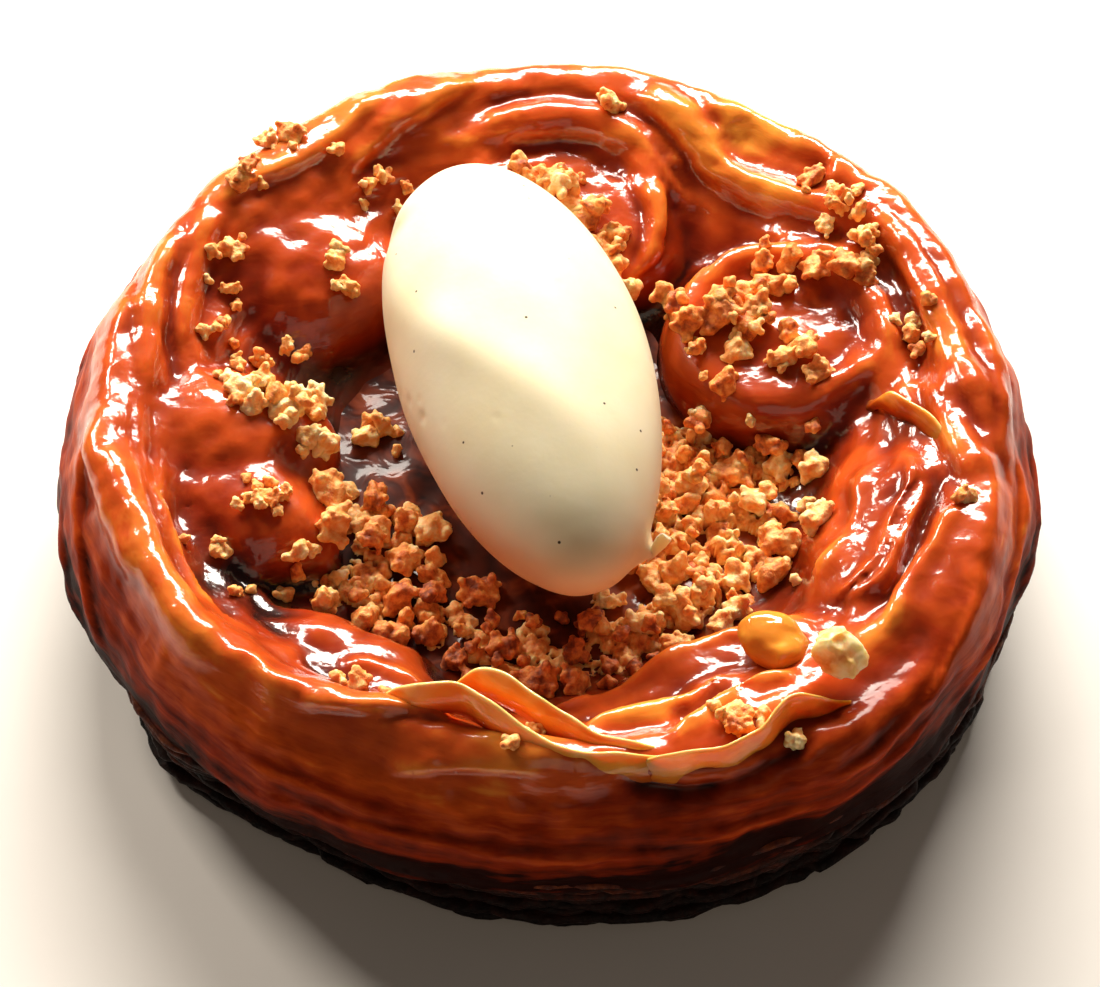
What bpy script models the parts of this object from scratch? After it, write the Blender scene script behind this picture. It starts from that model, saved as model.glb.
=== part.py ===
"""Tarte tatin with a quenelle of cream, in metres with +Z up and +Y to the back.

A disc of flaky pastry carries a ring of caramelised apple round a shallow pit. Apple halves lie in the
ring, translucent apple slices are draped over its rim, caramel has settled in the pit, and crumble and a
quenelle of vanilla cream lie on top. The origin is the middle of the flat underside.
"""

import math

import bmesh
import bpy
from mathutils import Matrix, Vector, noise
from mathutils.bvhtree import BVHTree

MM = 0.001
GAP = 0.3 * MM  # clearance between neighbouring solids

TART_RADIUS = 57.0 * MM  # widest part of the apple wall
WALL_WIDEST_HEIGHT = 13.5 * MM
PASTRY_RADIUS = 53.8 * MM
PASTRY_HEIGHT = 7.2 * MM
RIM_RADIUS = 51.5 * MM  # crest of the apple rim
RIM_HEIGHT = 28.0 * MM
PIT_RADIUS = 33.0 * MM
PIT_FLOOR = 12.8 * MM
CARAMEL_LEVEL = 14.3 * MM

# Waves round the rim's crest: lobes, millimetres, and the angle of the first lobe in degrees.
RIM_WAVES = ((1, 1.2, 45), (2, 1.4, -60), (3, 1.3, -44), (4, 0.6, 39), (5, 0.5, 17))
WALL_WAVES = ((1, 0.4, 180), (2, 0.4, -20), (3, 0.5, 40))
PASTRY_WAVES = ((1, 0.4, -45), (2, 1.0, -48), (3, 0.7, -60))
CORNER_ANGLE, CORNER_WIDTH, CORNER_REACH = -141, 9, 2.4 * MM  # a corner of pastry that sticks out

CREAM_HALF_LENGTH = 32.5 * MM
CREAM_HALF_WIDTH = 14.4 * MM
CREAM_HALF_HEIGHT = 12.6 * MM
CREAM_CENTRE = Vector((-3.1, 1.5, 29.0)) * MM
CREAM_YAW = math.radians(-75.6)
CREAM_DIRECTION = Vector((math.cos(CREAM_YAW), math.sin(CREAM_YAW), 0.0))

ROUND_STEPS = 48


def clear_scene():
    for obj in list(bpy.data.objects):
        bpy.data.objects.remove(obj, do_unlink=True)


def new_collection(name):
    collection = bpy.data.collections.new(name)
    bpy.context.scene.collection.children.link(collection)
    return collection


def linear(hex_colour):
    """sRGB hex to the linear colour that Blender works in."""
    channels = [int(hex_colour[i : i + 2], 16) / 255 for i in (1, 3, 5)]
    return [c / 12.92 if c <= 0.04045 else ((c + 0.055) / 1.055) ** 2.4 for c in channels] + [1.0]


def food_material(name, hex_colour, roughness):
    material = bpy.data.materials.new(name)
    material.use_nodes = True
    shader = material.node_tree.nodes["Principled BSDF"]
    shader.inputs["Base Color"].default_value = linear(hex_colour)
    shader.inputs["Roughness"].default_value = roughness
    shader.inputs["Metallic"].default_value = 0.0
    material.diffuse_color = linear(hex_colour)
    return material


def add_object(name, mesh, collection, material=None):
    obj = bpy.data.objects.new(name, mesh)
    collection.objects.link(obj)
    if material:
        mesh.materials.clear()
        mesh.materials.append(material)
    return obj


def evaluated_mesh(obj):
    """A copy of the object's mesh with its modifiers applied."""
    bpy.context.view_layer.update()
    graph = bpy.context.evaluated_depsgraph_get()
    return bpy.data.meshes.new_from_object(obj.evaluated_get(graph))


def apply_modifiers(obj):
    mesh = evaluated_mesh(obj)
    obj.modifiers.clear()
    obj.data = mesh


def as_cutter(obj):
    """Moves a helper to the cutters, where it is not rendered."""
    for collection in list(obj.users_collection):
        collection.objects.unlink(obj)
    cutters.objects.link(obj)
    obj.hide_render = True
    obj.display_type = "WIRE"


def reshape(obj, move):
    for vertex in obj.data.vertices:
        vertex.co = move(vertex.co)


def smoothstep(low, high, value):
    t = min(max((value - low) / (high - low), 0.0), 1.0)
    return t * t * (3 - 2 * t)


def waves(table, angle):
    return sum(size * math.cos(lobes * (angle - math.radians(first))) for lobes, size, first in table) * MM


def pastry_corner(angle):
    return math.exp(-(((math.degrees(angle) - CORNER_ANGLE) / CORNER_WIDTH) ** 2)) * CORNER_REACH


def uneven(point, size, grain):
    """A smooth irregular push in three directions, the same at every run."""
    place = Vector(point) / grain
    return Vector([noise.noise(place + Vector((9.0 * axis, 5.0, 3.0))) for axis in range(3)]) * size


def turned(name, profile, material):
    """A profile that runs from the axis out over the top and down its outer side, turned about Z."""
    mesh = bpy.data.meshes.new(name)
    edges = [(i, i + 1) for i in range(len(profile) - 1)]
    mesh.from_pydata([(radius, 0, height) for radius, height in profile], edges, [])
    obj = add_object(name, mesh, tart)
    screw = obj.modifiers.new("turn", "SCREW")
    screw.steps = screw.render_steps = ROUND_STEPS
    screw.use_merge_vertices = True
    screw.merge_threshold = 0.00005
    apply_modifiers(obj)
    obj.data.materials.append(material)
    return obj


def settle(obj):
    """Turns a round lathed body into the tart's uneven outline, keeping its height at the pit."""

    def move(co):
        radius, angle = math.hypot(co.x, co.y), math.atan2(co.y, co.x)
        if radius < 1e-6:
            return co
        swell = smoothstep(PASTRY_HEIGHT, WALL_WIDEST_HEIGHT, co.z)
        rise = smoothstep(WALL_WIDEST_HEIGHT, RIM_HEIGHT, co.z)
        inside = smoothstep(PIT_RADIUS * 0.8, RIM_RADIUS, radius)
        low = waves(PASTRY_WAVES, angle) + pastry_corner(angle)
        middle = low + (waves(WALL_WAVES, angle) - low) * swell
        shift = middle + (waves(RIM_WAVES, angle) - middle) * rise
        lift = 0.7 * MM * math.sin(angle) * rise
        push = uneven(co, 0.9 * MM, 11 * MM) * inside
        scale = (radius + shift * inside) / radius
        return Vector((co.x * scale, co.y * scale, co.z + lift * inside)) + push

    reshape(obj, move)


def pastry_base():
    """The flaky disc, whose edge steps in and out where its layers part."""
    edge = [
        (PASTRY_RADIUS - 1.2 * MM, PASTRY_HEIGHT),
        (PASTRY_RADIUS + 0.8 * MM, PASTRY_HEIGHT - 1.2 * MM),
        (PASTRY_RADIUS - 0.4 * MM, PASTRY_HEIGHT - 2.6 * MM),
        (PASTRY_RADIUS + 1.0 * MM, PASTRY_HEIGHT - 4.0 * MM),
        (PASTRY_RADIUS - 0.2 * MM, PASTRY_HEIGHT - 5.4 * MM),
        (PASTRY_RADIUS - 0.8 * MM, 0.0),
    ]
    profile = [(0.0, PASTRY_HEIGHT), (PIT_RADIUS, PASTRY_HEIGHT)] + edge + [(PIT_RADIUS, 0.0), (0.0, 0.0)]
    obj = turned("pastry_base", profile, baked_pastry)

    def move(co):
        radius, angle = math.hypot(co.x, co.y), math.atan2(co.y, co.x)
        if radius < PASTRY_RADIUS * 0.9:
            return co
        ragged = noise.noise(Vector((co.x, co.y, co.z * 3)) / (4 * MM)) * 0.5 * MM
        scale = (radius + waves(PASTRY_WAVES, angle) + pastry_corner(angle) + ragged) / radius
        return Vector((co.x * scale, co.y * scale, co.z))

    reshape(obj, move)
    return obj


def apple_ring(name, grow=0.0):
    """The bed of cooked apple: a swollen wall, a rounded crest and a slope down to the pit."""
    bottom = PASTRY_HEIGHT + GAP
    profile = [
        (0.0, PIT_FLOOR),
        (PIT_RADIUS * 0.8, PIT_FLOOR + 0.2 * MM),
        (PIT_RADIUS + 3.0 * MM, PIT_FLOOR + 2.4 * MM),
        (PIT_RADIUS + 8.0 * MM, PIT_FLOOR + 6.2 * MM),
        (RIM_RADIUS - 5.5 * MM, RIM_HEIGHT - 4.6 * MM),
        (RIM_RADIUS - 2.0 * MM, RIM_HEIGHT - 0.9 * MM),
        (RIM_RADIUS, RIM_HEIGHT),
        (RIM_RADIUS + 1.5 * MM, RIM_HEIGHT - 1.2 * MM),
        (TART_RADIUS - 1.4 * MM, WALL_WIDEST_HEIGHT + 8.0 * MM),
        (TART_RADIUS, WALL_WIDEST_HEIGHT + 1.0 * MM),
        (TART_RADIUS - 1.2 * MM, bottom + 2.4 * MM),
        (PASTRY_RADIUS - 0.8 * MM, bottom),
        (0.0, bottom),
    ]
    obj = turned(name, profile, caramelised_apple)
    settle(obj)
    for vertex in obj.data.vertices:
        vertex.co.z = max(vertex.co.z, bottom)
    if grow:
        swell = obj.modifiers.new("swell", "DISPLACE")
        swell.strength = grow
        swell.mid_level = 0.0
        apply_modifiers(obj)
    return obj


def ball(name, centre, radii, yaw=0.0, tilt=0.0, segments=14, rings=8, grow=0.0):
    """An ellipsoid in millimetres: tilted about its own Y axis, then turned about Z, then grown."""
    mesh = bpy.data.meshes.new(name)
    shape = bmesh.new()
    bmesh.ops.create_uvsphere(shape, u_segments=segments, v_segments=rings, radius=1.0)
    bmesh.ops.scale(shape, vec=[radius * MM + grow for radius in radii], verts=shape.verts)
    turn = Matrix.Rotation(math.radians(yaw), 3, "Z") @ Matrix.Rotation(math.radians(tilt), 3, "Y")
    bmesh.ops.rotate(shape, matrix=turn, cent=(0, 0, 0), verts=shape.verts)
    bmesh.ops.translate(shape, vec=Vector(centre) * MM, verts=shape.verts)
    shape.to_mesh(mesh)
    shape.free()
    return add_object(name, mesh, tart)


def boolean(obj, other, operation, solver="EXACT"):
    modifier = obj.modifiers.new(other.name, "BOOLEAN")
    modifier.operation = operation
    modifier.solver = solver
    modifier.object = other


def apple_half(name, centre, radii, yaw=0.0, tilt=0.0, hollow=None, lobe=None, lump=0.7, grow=0.0):
    """A cooked apple half: a lumpy dome, with its cored hollow or a second lobe."""
    obj = ball(name, centre, radii, yaw, tilt, grow=grow)
    obj.data.materials.append(apple_flesh)
    reshape(obj, lambda co: co + uneven(co, lump * MM, 6 * MM))
    if lobe:
        other = ball(name + "_lobe", *lobe, grow=grow)
        as_cutter(other)
        boolean(obj, other, "UNION")
    if hollow:
        core = ball(name + "_core", *hollow, grow=-grow)
        as_cutter(core)
        boolean(obj, core, "DIFFERENCE")
    apply_modifiers(obj)
    return obj


def apple_slice(name, route, width=6.0, thickness=1.3, lean=0.0, grow=0.0):
    """A thin slice draped along a route of (degrees round the tart, radius mm, height mm)."""
    curve = bpy.data.curves.new(name, "CURVE")
    curve.dimensions = "3D"
    curve.resolution_u = 3
    curve.twist_mode = "Z_UP"
    curve.extrude = width * MM / 2 + grow
    curve.bevel_depth = thickness * MM / 2 + grow
    curve.bevel_resolution = 0
    curve.use_fill_caps = True
    spline = curve.splines.new("BEZIER")
    spline.bezier_points.add(len(route) - 1)
    for point, (degrees, radius, height) in zip(spline.bezier_points, route):
        angle = math.radians(degrees)
        point.co = Vector((radius * math.cos(angle), radius * math.sin(angle), height)) * MM
        point.handle_left_type = point.handle_right_type = "AUTO"
        point.tilt = math.radians(lean)
    spline.bezier_points[0].radius = spline.bezier_points[-1].radius = 0.4
    guide = add_object(name + "_route", curve, tart)
    obj = add_object(name, evaluated_mesh(guide), tart, apple_flesh)
    bpy.data.objects.remove(guide)
    shape = bmesh.new()
    shape.from_mesh(obj.data)
    bmesh.ops.remove_doubles(shape, verts=shape.verts, dist=0.02 * MM)
    bmesh.ops.recalc_face_normals(shape, faces=shape.faces)
    shape.to_mesh(obj.data)
    shape.free()
    return obj


def crumb_heap(name, lumps, voxel=1.3, faces=420, grow=0.0):
    """One closed heap with an uneven outline, from overlapping balls of (x, y, z, radius) in millimetres.

    Its faces are thinned out, which moves them a little, so its room is grown by twice the gap.
    """
    shape = bmesh.new()
    for x, y, z, radius in lumps:
        place = Matrix.Translation(Vector((x, y, z)) * MM) @ Matrix.Scale(0.72, 4, (0, 0, 1))
        bmesh.ops.create_icosphere(shape, subdivisions=2, radius=radius * MM + 2 * grow, matrix=place)
    mesh = bpy.data.meshes.new(name)
    shape.to_mesh(mesh)
    shape.free()
    obj = add_object(name, mesh, tart)
    reshape(obj, lambda co: co + uneven(co, 1.6 * MM, 4 * MM))
    remesh = obj.modifiers.new("join", "REMESH")
    remesh.mode = "VOXEL"
    remesh.voxel_size = voxel * MM
    apply_modifiers(obj)
    decimate = obj.modifiers.new("thin_out", "DECIMATE")
    decimate.ratio = min(1.0, faces / (2 * len(obj.data.polygons)))
    apply_modifiers(obj)
    obj.data.materials.clear()
    obj.data.materials.append(crumble)
    return obj


def caramel_pool(name, grow=0.0):
    """Set caramel in the pit, with a rounded skin at its edge."""
    edge = PIT_RADIUS + 5.0 * MM + grow
    profile = [
        (0.0, CARAMEL_LEVEL + grow),
        (edge - 10.0 * MM, CARAMEL_LEVEL + grow),
        (edge, CARAMEL_LEVEL + 0.3 * MM + grow),
        (edge, PIT_FLOOR - 1.5 * MM - grow),
        (0.0, PIT_FLOOR - 1.5 * MM - grow),
    ]
    return turned(name, profile, dark_caramel)


def cream_quenelle(name, grow=0.0):
    """The spooned egg of cream: rounded at the back, drawn to a small lip at the front."""
    obj = ball(name, (0, 0, 0), (1000, 1000, 1000), segments=22, rings=13)
    turn = Matrix.Rotation(CREAM_YAW, 4, "Z")

    def move(co):
        unit = co.normalized()
        along, across, up = unit.z, unit.x, unit.y
        ridge = math.exp(-(((math.degrees(math.atan2(up, across)) - 150) / 25) ** 2)) * (1 - along**2)
        girth = (1 - 0.05 * along) * (1 + 0.03 * ridge)
        x = (CREAM_HALF_LENGTH + grow) * along
        y = (CREAM_HALF_WIDTH + grow) * across * girth
        z = (CREAM_HALF_HEIGHT + grow) * up * girth
        tip = smoothstep(0.86, 1.0, along)
        return turn @ Vector((x + 1.2 * MM * tip, y - 2.0 * MM * tip, z + 1.5 * MM * tip)) + CREAM_CENTRE

    reshape(obj, move)
    obj.data.materials.append(cream)
    return obj


def small_piece(name, centre, radii, yaw, tilt, material, grow=0.0):
    obj = ball(name, centre, radii, yaw, tilt, segments=8, rings=6, grow=grow)
    obj.data.materials.append(material)
    return obj


def laid(make, name, *shape, **more):
    """Makes a piece, and a copy of it grown by the gap that cuts room for it in what lies below."""
    as_cutter(make(name + "_room", *shape, grow=GAP, **more))
    return make(name, *shape, **more)


def drop_scraps(obj):
    """Deletes the loose scraps that cuts leave beside the main body."""
    shape = bmesh.new()
    shape.from_mesh(obj.data)
    unseen, islands = set(shape.verts), []
    while unseen:
        island, edge_of_it = set(), [unseen.pop()]
        while edge_of_it:
            vertex = edge_of_it.pop()
            island.add(vertex)
            found = {edge.other_vert(vertex) for edge in vertex.link_edges} & unseen
            unseen -= found
            edge_of_it.extend(found)
        islands.append(island)
    islands.sort(key=len)
    for scrap in islands[:-1]:
        bmesh.ops.delete(shape, geom=list(scrap), context="VERTS")
    shape.to_mesh(obj.data)
    shape.free()


def make_room(pieces):
    """Cuts each piece away round every piece before it.

    The exact solver loses whole bodies among so many lumpy cutters, so these cuts use the manifold one.
    """
    rooms = []
    for piece in pieces:
        bpy.context.view_layer.update()
        for room in rooms:
            if surfaces_cross(piece, room):
                boolean(piece, room, "DIFFERENCE", "MANIFOLD")
        apply_modifiers(piece)
        drop_scraps(piece)
        rooms.append(bpy.data.objects.get(piece.name + "_room"))


def surfaces_cross(first, second):
    graph = bpy.context.evaluated_depsgraph_get()
    trees = [BVHTree.FromObject(obj, graph) for obj in (first, second)]
    return bool(trees[0].overlap(trees[1]))


clear_scene()
tart = new_collection("tarte_tatin")
cutters = new_collection("cutters")
cutters.hide_render = True
baked_pastry = food_material("baked_pastry", "#4A2410", 0.6)
caramelised_apple = food_material("caramelised_apple", "#8E3410", 0.25)
apple_flesh = food_material("glazed_apple", "#A8441A", 0.22)
crumble = food_material("crumble", "#C98A4E", 0.8)
cream = food_material("vanilla_cream", "#EFE3BF", 0.35)
dark_caramel = food_material("dark_caramel", "#2E0E06", 0.12)
toasted_nut = food_material("toasted_nut", "#E2B566", 0.5)

# Apple halves: centre and radii in millimetres, with the cored hollow that faces up or the second lobe.
halves = [
    laid(apple_half, "apple_half_back_left", (-31.0, 27.0, 16.6), (14.8, 12.8, 8.4), yaw=20),
    laid(apple_half, "apple_half_left", (-38.0, 0.5, 16.6), (13.4, 9.8, 8.4), yaw=-12,
         lobe=((-35.0, -10.5, 16.0), (11.2, 8.2, 7.4), -20)),
    laid(apple_half, "apple_half_back", (2.0, 40.5, 18.0), (15.0, 11.5, 9.4), tilt=4,
         hollow=((0.5, 36.5, 28.2), (9.8, 8.6, 8.2))),
    laid(apple_half, "apple_half_right", (29.0, 18.0, 18.0), (15.6, 14.0, 9.4), yaw=10,
         hollow=((28.5, 17.5, 28.0), (10.2, 8.8, 8.2))),
    laid(apple_half, "apple_piece_front_right", (37.0, -14.5, 18.6), (8.5, 15.5, 5.6),
         yaw=-16, tilt=-28, lump=1.2),
    laid(apple_half, "apple_piece_front_left", (-22.0, -33.0, 16.4), (14.0, 7.0, 5.4), yaw=-34),
]

slices = [
    laid(apple_slice, "slice_front_lip", [(-113, 46.0, 27.5), (-107, 44.6, 29.6), (-98, 46.0, 29.0),
                                          (-89, 49.4, 27.2)], width=5.0, lean=35),
    laid(apple_slice, "slice_front_inner", [(-106, 41.6, 28.0), (-98, 40.8, 27.4), (-89, 44.6, 26.4),
                                            (-82, 47.6, 26.0)], width=5.0, lean=35),
    laid(apple_slice, "slice_front_right", [(-86, 49.6, 26.6), (-80, 51.0, 26.8), (-70, 50.6, 27.0),
                                            (-60, 49.6, 27.4), (-54, 49.6, 27.6)], lean=40),
    laid(apple_slice, "slice_pit_front", [(-88, 38.4, 18.5), (-74, 36.6, 20.5), (-64, 37.4, 22.0),
                                          (-54, 39.0, 23.0)], width=5.0, lean=45),
    laid(apple_slice, "slice_right_inner", [(-19, 46.6, 26.4), (-29, 44.2, 25.2), (-37, 45.4, 25.2),
                                            (-44, 44.4, 25.4)], lean=-20),
    laid(apple_slice, "slice_right", [(6, 38.6, 24.5), (-3, 41.8, 25.6), (-11, 47.0, 27.0)],
         width=7.0, lean=-35),
    laid(apple_slice, "slice_left_inner", [(-160, 44.2, 25.5), (-150, 44.8, 25.0), (-141, 45.6, 25.0),
                                           (-134, 46.6, 25.6)], width=7.0, lean=-30),
    laid(apple_slice, "slice_back_swoosh", [(75, 49.4, 28.0), (67, 44.4, 27.0), (59, 42.4, 26.2),
                                            (50, 44.6, 26.8)], lean=-25),
    laid(apple_slice, "slice_right_back", [(38, 48.4, 28.2), (26, 47.2, 28.2), (13, 47.0, 27.6),
                                           (2, 48.4, 27.4)], width=7.0, lean=-25),
    laid(apple_slice, "slice_back_left", [(136, 47.0, 26.8), (124, 47.4, 27.4), (113, 47.6, 28.0),
                                          (102, 48.2, 28.6)], lean=-25),
]

bits = [
    laid(small_piece, "nut_piece", (31.0, -37.6, 29.2), (3.8, 2.5, 2.5), -25, 10, toasted_nut),
    laid(small_piece, "apple_bit", (24.3, -33.2, 26.0), (3.6, 3.0, 2.6), -40, 0, apple_flesh),
]

# The crumble in the pit: an arc from the left round the front to the right, fuller on the right, with a low
# bed under the cream.
pit_lumps = []
for step in range(14):
    angle = math.radians(-176 + 14 * step)
    across = 26.0 + 2.2 * math.cos(3 * angle)
    height = 15.6 + 1.0 * math.sin(2 * angle)
    radius = 5.6 + math.cos(5 * angle)
    pit_lumps.append((across * math.cos(angle), across * math.sin(angle) - 1.0, height, radius))
for step in range(4):
    angle = math.radians(-68 + 22 * step)
    pit_lumps.append((18.5 * math.cos(angle), 18.5 * math.sin(angle) - 1.0, 15.6, 5.4))
for step in range(5):
    along = CREAM_DIRECTION * (8 * step - 12)
    pit_lumps.append((CREAM_CENTRE.x / MM + along.x, CREAM_CENTRE.y / MM + along.y, 14.6, 6.5))
right_lumps = [(28.0, 16.5, 22.0, 4.5)]
for step in range(7):
    angle = 0.9 * step
    place = (28.5 + 6.8 * math.cos(angle), 17.5 + 5.6 * math.sin(angle), 23.4 + math.sin(3 * step))
    right_lumps.append((*place, 4.3))
heaps = [
    laid(crumb_heap, "crumble_in_pit", pit_lumps, voxel=2.0, faces=440),
    laid(crumb_heap, "crumble_on_back_half", [(-2.5, 40.0, 24.0, 4.8), (3.5, 37.0, 23.5, 5.2),
                                              (8.0, 32.0, 22.6, 4.8), (10.0, 27.0, 20.6, 4.2)], faces=220),
    laid(crumb_heap, "crumble_on_right_half", right_lumps, faces=300),
    laid(crumb_heap, "crumble_on_left_half", [(-35.0, 4.5, 23.6, 3.6), (-31.0, 3.0, 24.0, 4.2),
                                              (-26.5, 1.0, 22.4, 4.2), (-23.0, -1.0, 20.0, 4.0)], faces=220),
]

pastry_base()
quenelle = laid(cream_quenelle, "cream_quenelle")
bed = [laid(apple_ring, "apple_ring"), laid(caramel_pool, "caramel_pool")]
make_room([quenelle] + halves + slices + bits + bed + heaps)
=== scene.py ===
"""Tarte tatin with a quenelle of vanilla cream, dressed over its CAD solids.

Metres, +Z up, +Y to the back, the origin in the middle of the flat underside. The file follows the tart
as it is put together: pastry, apple bed, slices, caramel, crumble, small bits, cream, then floor and light.
"""

import math
import random

import bmesh
import bpy
import numpy as np
from mathutils import Euler, Matrix, Vector, noise
from mathutils.bvhtree import BVHTree


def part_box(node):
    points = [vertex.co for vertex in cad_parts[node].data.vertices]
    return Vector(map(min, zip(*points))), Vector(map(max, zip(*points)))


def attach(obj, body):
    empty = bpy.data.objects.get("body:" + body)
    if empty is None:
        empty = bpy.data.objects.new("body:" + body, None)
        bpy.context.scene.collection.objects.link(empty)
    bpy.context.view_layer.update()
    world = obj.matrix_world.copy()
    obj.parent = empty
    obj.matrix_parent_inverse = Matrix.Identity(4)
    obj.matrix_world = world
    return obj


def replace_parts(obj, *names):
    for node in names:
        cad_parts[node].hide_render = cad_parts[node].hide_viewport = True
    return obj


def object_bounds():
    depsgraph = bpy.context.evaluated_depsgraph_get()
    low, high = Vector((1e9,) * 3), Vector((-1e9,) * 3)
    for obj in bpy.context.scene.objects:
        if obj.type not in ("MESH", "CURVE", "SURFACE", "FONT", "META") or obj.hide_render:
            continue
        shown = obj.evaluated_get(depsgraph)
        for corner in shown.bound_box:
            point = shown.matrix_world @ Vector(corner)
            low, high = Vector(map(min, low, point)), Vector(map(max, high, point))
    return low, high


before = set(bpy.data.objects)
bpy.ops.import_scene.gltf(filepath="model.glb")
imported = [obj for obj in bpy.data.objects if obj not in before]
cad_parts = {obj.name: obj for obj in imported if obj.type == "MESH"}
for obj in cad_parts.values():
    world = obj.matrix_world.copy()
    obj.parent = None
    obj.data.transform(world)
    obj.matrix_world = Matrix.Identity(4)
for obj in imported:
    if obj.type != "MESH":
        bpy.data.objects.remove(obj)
cad_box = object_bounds()


# ---------------------------------------------------------------------------------------------------------
# Pastry base: a disc of flaky butter dough that was laid over the apples, baked until its rim is nearly
# black, and turned over; its lowest leaves are darker still, as painted shade. It is built leaf by leaf,
# because its edge shows where the leaves have parted.
MM = 0.001
pastry_low, pastry_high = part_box("pastry_base")
PASTRY_HEIGHT = pastry_high.z
PASTRY_RADIUS = 53.8 * MM
WIDEST_HEIGHT = 13.5 * MM  # of the apple wall, up which the top leaves curl

# Leaves of the dough: underside, how far each stands out or back, both in mm, and how charred it is, which
# also holds painted shade, so the lower leaves are darker. The upper ones are thin scraps that cling to the apple
# wall.
LEAVES = [(0.0, -0.6, 0.24), (0.95, 0.3, 0.22), (1.9, 1.0, 0.2), (2.9, 0.1, 0.18), (3.9, 0.8, 0.15),
          (4.9, -0.2, 0.12), (5.8, 0.7, 0.08), (6.9, 0.9, 0.04), (7.9, 0.5, 0.0), (8.9, 0.7, -0.04),
          (10.0, 0.2, -0.08), (11.2, 0.35, -0.1)]
LEAF_THICKNESS = 1.15 * MM
LEAF_STEPS = 420

# Waves of the outline: lobes, mm, angle of the first lobe in degrees.
PASTRY_WAVES = ((1, 0.4, -45), (2, 1.0, -48), (3, 0.7, -60))
WALL_WAVES = ((1, 0.4, 180), (2, 0.4, -20), (3, 0.5, 40))


def waves(table, angle):
    return sum(size * np.cos(lobes * (angle - math.radians(first))) for lobes, size, first in table) * MM


def smoothstep(low, high, value):
    t = np.clip((value - low) / (high - low), 0.0, 1.0)
    return t * t * (3 - 2 * t)


def pastry_corner(angle):
    """A corner of the dough that sticks out at the front left."""
    return np.exp(-(((np.degrees(angle) + 141) / 9) ** 2)) * 2.4 * MM


def lumps(points, grain, seed=0.0):
    """Smooth noise from about -1 to 1 at each point, in lumps of about that grain."""
    places = np.asarray(points) / grain + seed
    return np.array([noise.noise(Vector(place)) for place in places.reshape(-1, 3)]).reshape(places.shape[:-1])


def closed_grid(rows, columns):
    """The quads of a grid that closes on itself along its columns."""
    first = np.arange(rows - 1)[:, None] * columns + np.arange(columns)
    beside = np.roll(first, -1, axis=1)
    return np.stack([first, beside, beside + columns, first + columns], axis=-1).reshape(-1, 4)


def new_piece(name, points, faces, material):
    mesh = bpy.data.meshes.new(name)
    mesh.from_pydata(np.asarray(points).reshape(-1, 3).tolist(), [], [list(map(int, face)) for face in faces])
    mesh.shade_smooth()
    mesh.materials.append(material)
    piece = bpy.data.objects.new(name, mesh)
    bpy.context.scene.collection.objects.link(piece)
    return piece


def paint(piece, name, values):
    """Keeps one number for each point of the mesh, which the material reads by that name."""
    layer = piece.data.attributes.new(name, "FLOAT", "POINT")
    layer.data.foreach_set("value", np.asarray(values, np.float32).ravel())


def linear(hex_colour):
    """sRGB hex to the linear colour that shaders work in."""
    channels = [int(hex_colour[i : i + 2], 16) / 255 for i in (1, 3, 5)]
    return [c / 12.92 if c <= 0.04045 else ((c + 0.055) / 1.055) ** 2.4 for c in channels] + [1.0]


def add(tree, kind, inputs=None, stops=None, **settings):
    """Adds a node: settings on the node, values or links into its sockets, and the stops of a ramp."""
    made = tree.nodes.new(kind)
    for key, value in settings.items():
        setattr(made, key, value)
    for key, value in (inputs or {}).items():
        if isinstance(value, bpy.types.NodeSocket):
            tree.links.new(value, made.inputs[key])
        else:
            made.inputs[key].default_value = value
    if stops:
        ramp = made.color_ramp
        while len(ramp.elements) < len(stops):
            ramp.elements.new(0.5)
        for element, (place, colour) in zip(ramp.elements, stops):
            element.position, element.color = place, linear(colour)
    return made


def new_material(name):
    material = bpy.data.materials.new(name)
    material.use_nodes = True
    material.node_tree.nodes.clear()
    return material, material.node_tree


# Flaky pastry baked dark: dry and finely cracked, brown on the flats and charred at the thin edges, and darker
# towards the bottom as painted shade, with a dull shine where butter and caramel have soaked in. Blisters are
# about 2 mm, the cracks 0.4 mm.
pastry_bake, tree = new_material("flaky_pastry_baked_dark")
place = add(tree, "ShaderNodeTexCoord")
blisters = add(tree, "ShaderNodeTexNoise", {"Vector": place.outputs["Object"], "Scale": 1 / (2.2 * MM),
                                            "Detail": 5.0, "Roughness": 0.65})
cracks = add(tree, "ShaderNodeTexNoise", {"Vector": place.outputs["Object"], "Scale": 1 / (0.5 * MM),
                                          "Detail": 3.0})
# The char number also holds painted shade: the lower leaves are darker.
char_and_shade = add(tree, "ShaderNodeAttribute", attribute_name="char_and_shade")
browned = add(tree, "ShaderNodeMath", {0: blisters.outputs["Fac"], 1: char_and_shade.outputs["Fac"]}, operation="SUBTRACT")
crust = add(tree, "ShaderNodeValToRGB", {"Fac": browned.outputs["Value"]},
            stops=[(0.18, "#0E0503"), (0.38, "#260E07"), (0.54, "#4A1A09"), (0.75, "#7A3A14")])
relief = add(tree, "ShaderNodeBump", {"Height": blisters.outputs["Fac"], "Distance": 0.5 * MM, "Strength": 0.8})
fine = add(tree, "ShaderNodeBump", {"Height": cracks.outputs["Fac"], "Distance": 0.12 * MM, "Strength": 0.7,
                                    "Normal": relief.outputs["Normal"]})
dullness = add(tree, "ShaderNodeMapRange", {"Value": cracks.outputs["Fac"], "From Min": 0.3, "From Max": 0.7,
                                            "To Min": 0.38, "To Max": 0.75})
shader = add(tree, "ShaderNodeBsdfPrincipled", {"Base Color": crust.outputs["Color"], "IOR": 1.45, "Specular IOR Level": 0.2,
                                                "Roughness": dullness.outputs["Result"],
                                                "Normal": fine.outputs["Normal"]})
add(tree, "ShaderNodeOutputMaterial", {"Surface": shader.outputs["BSDF"]})

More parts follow.
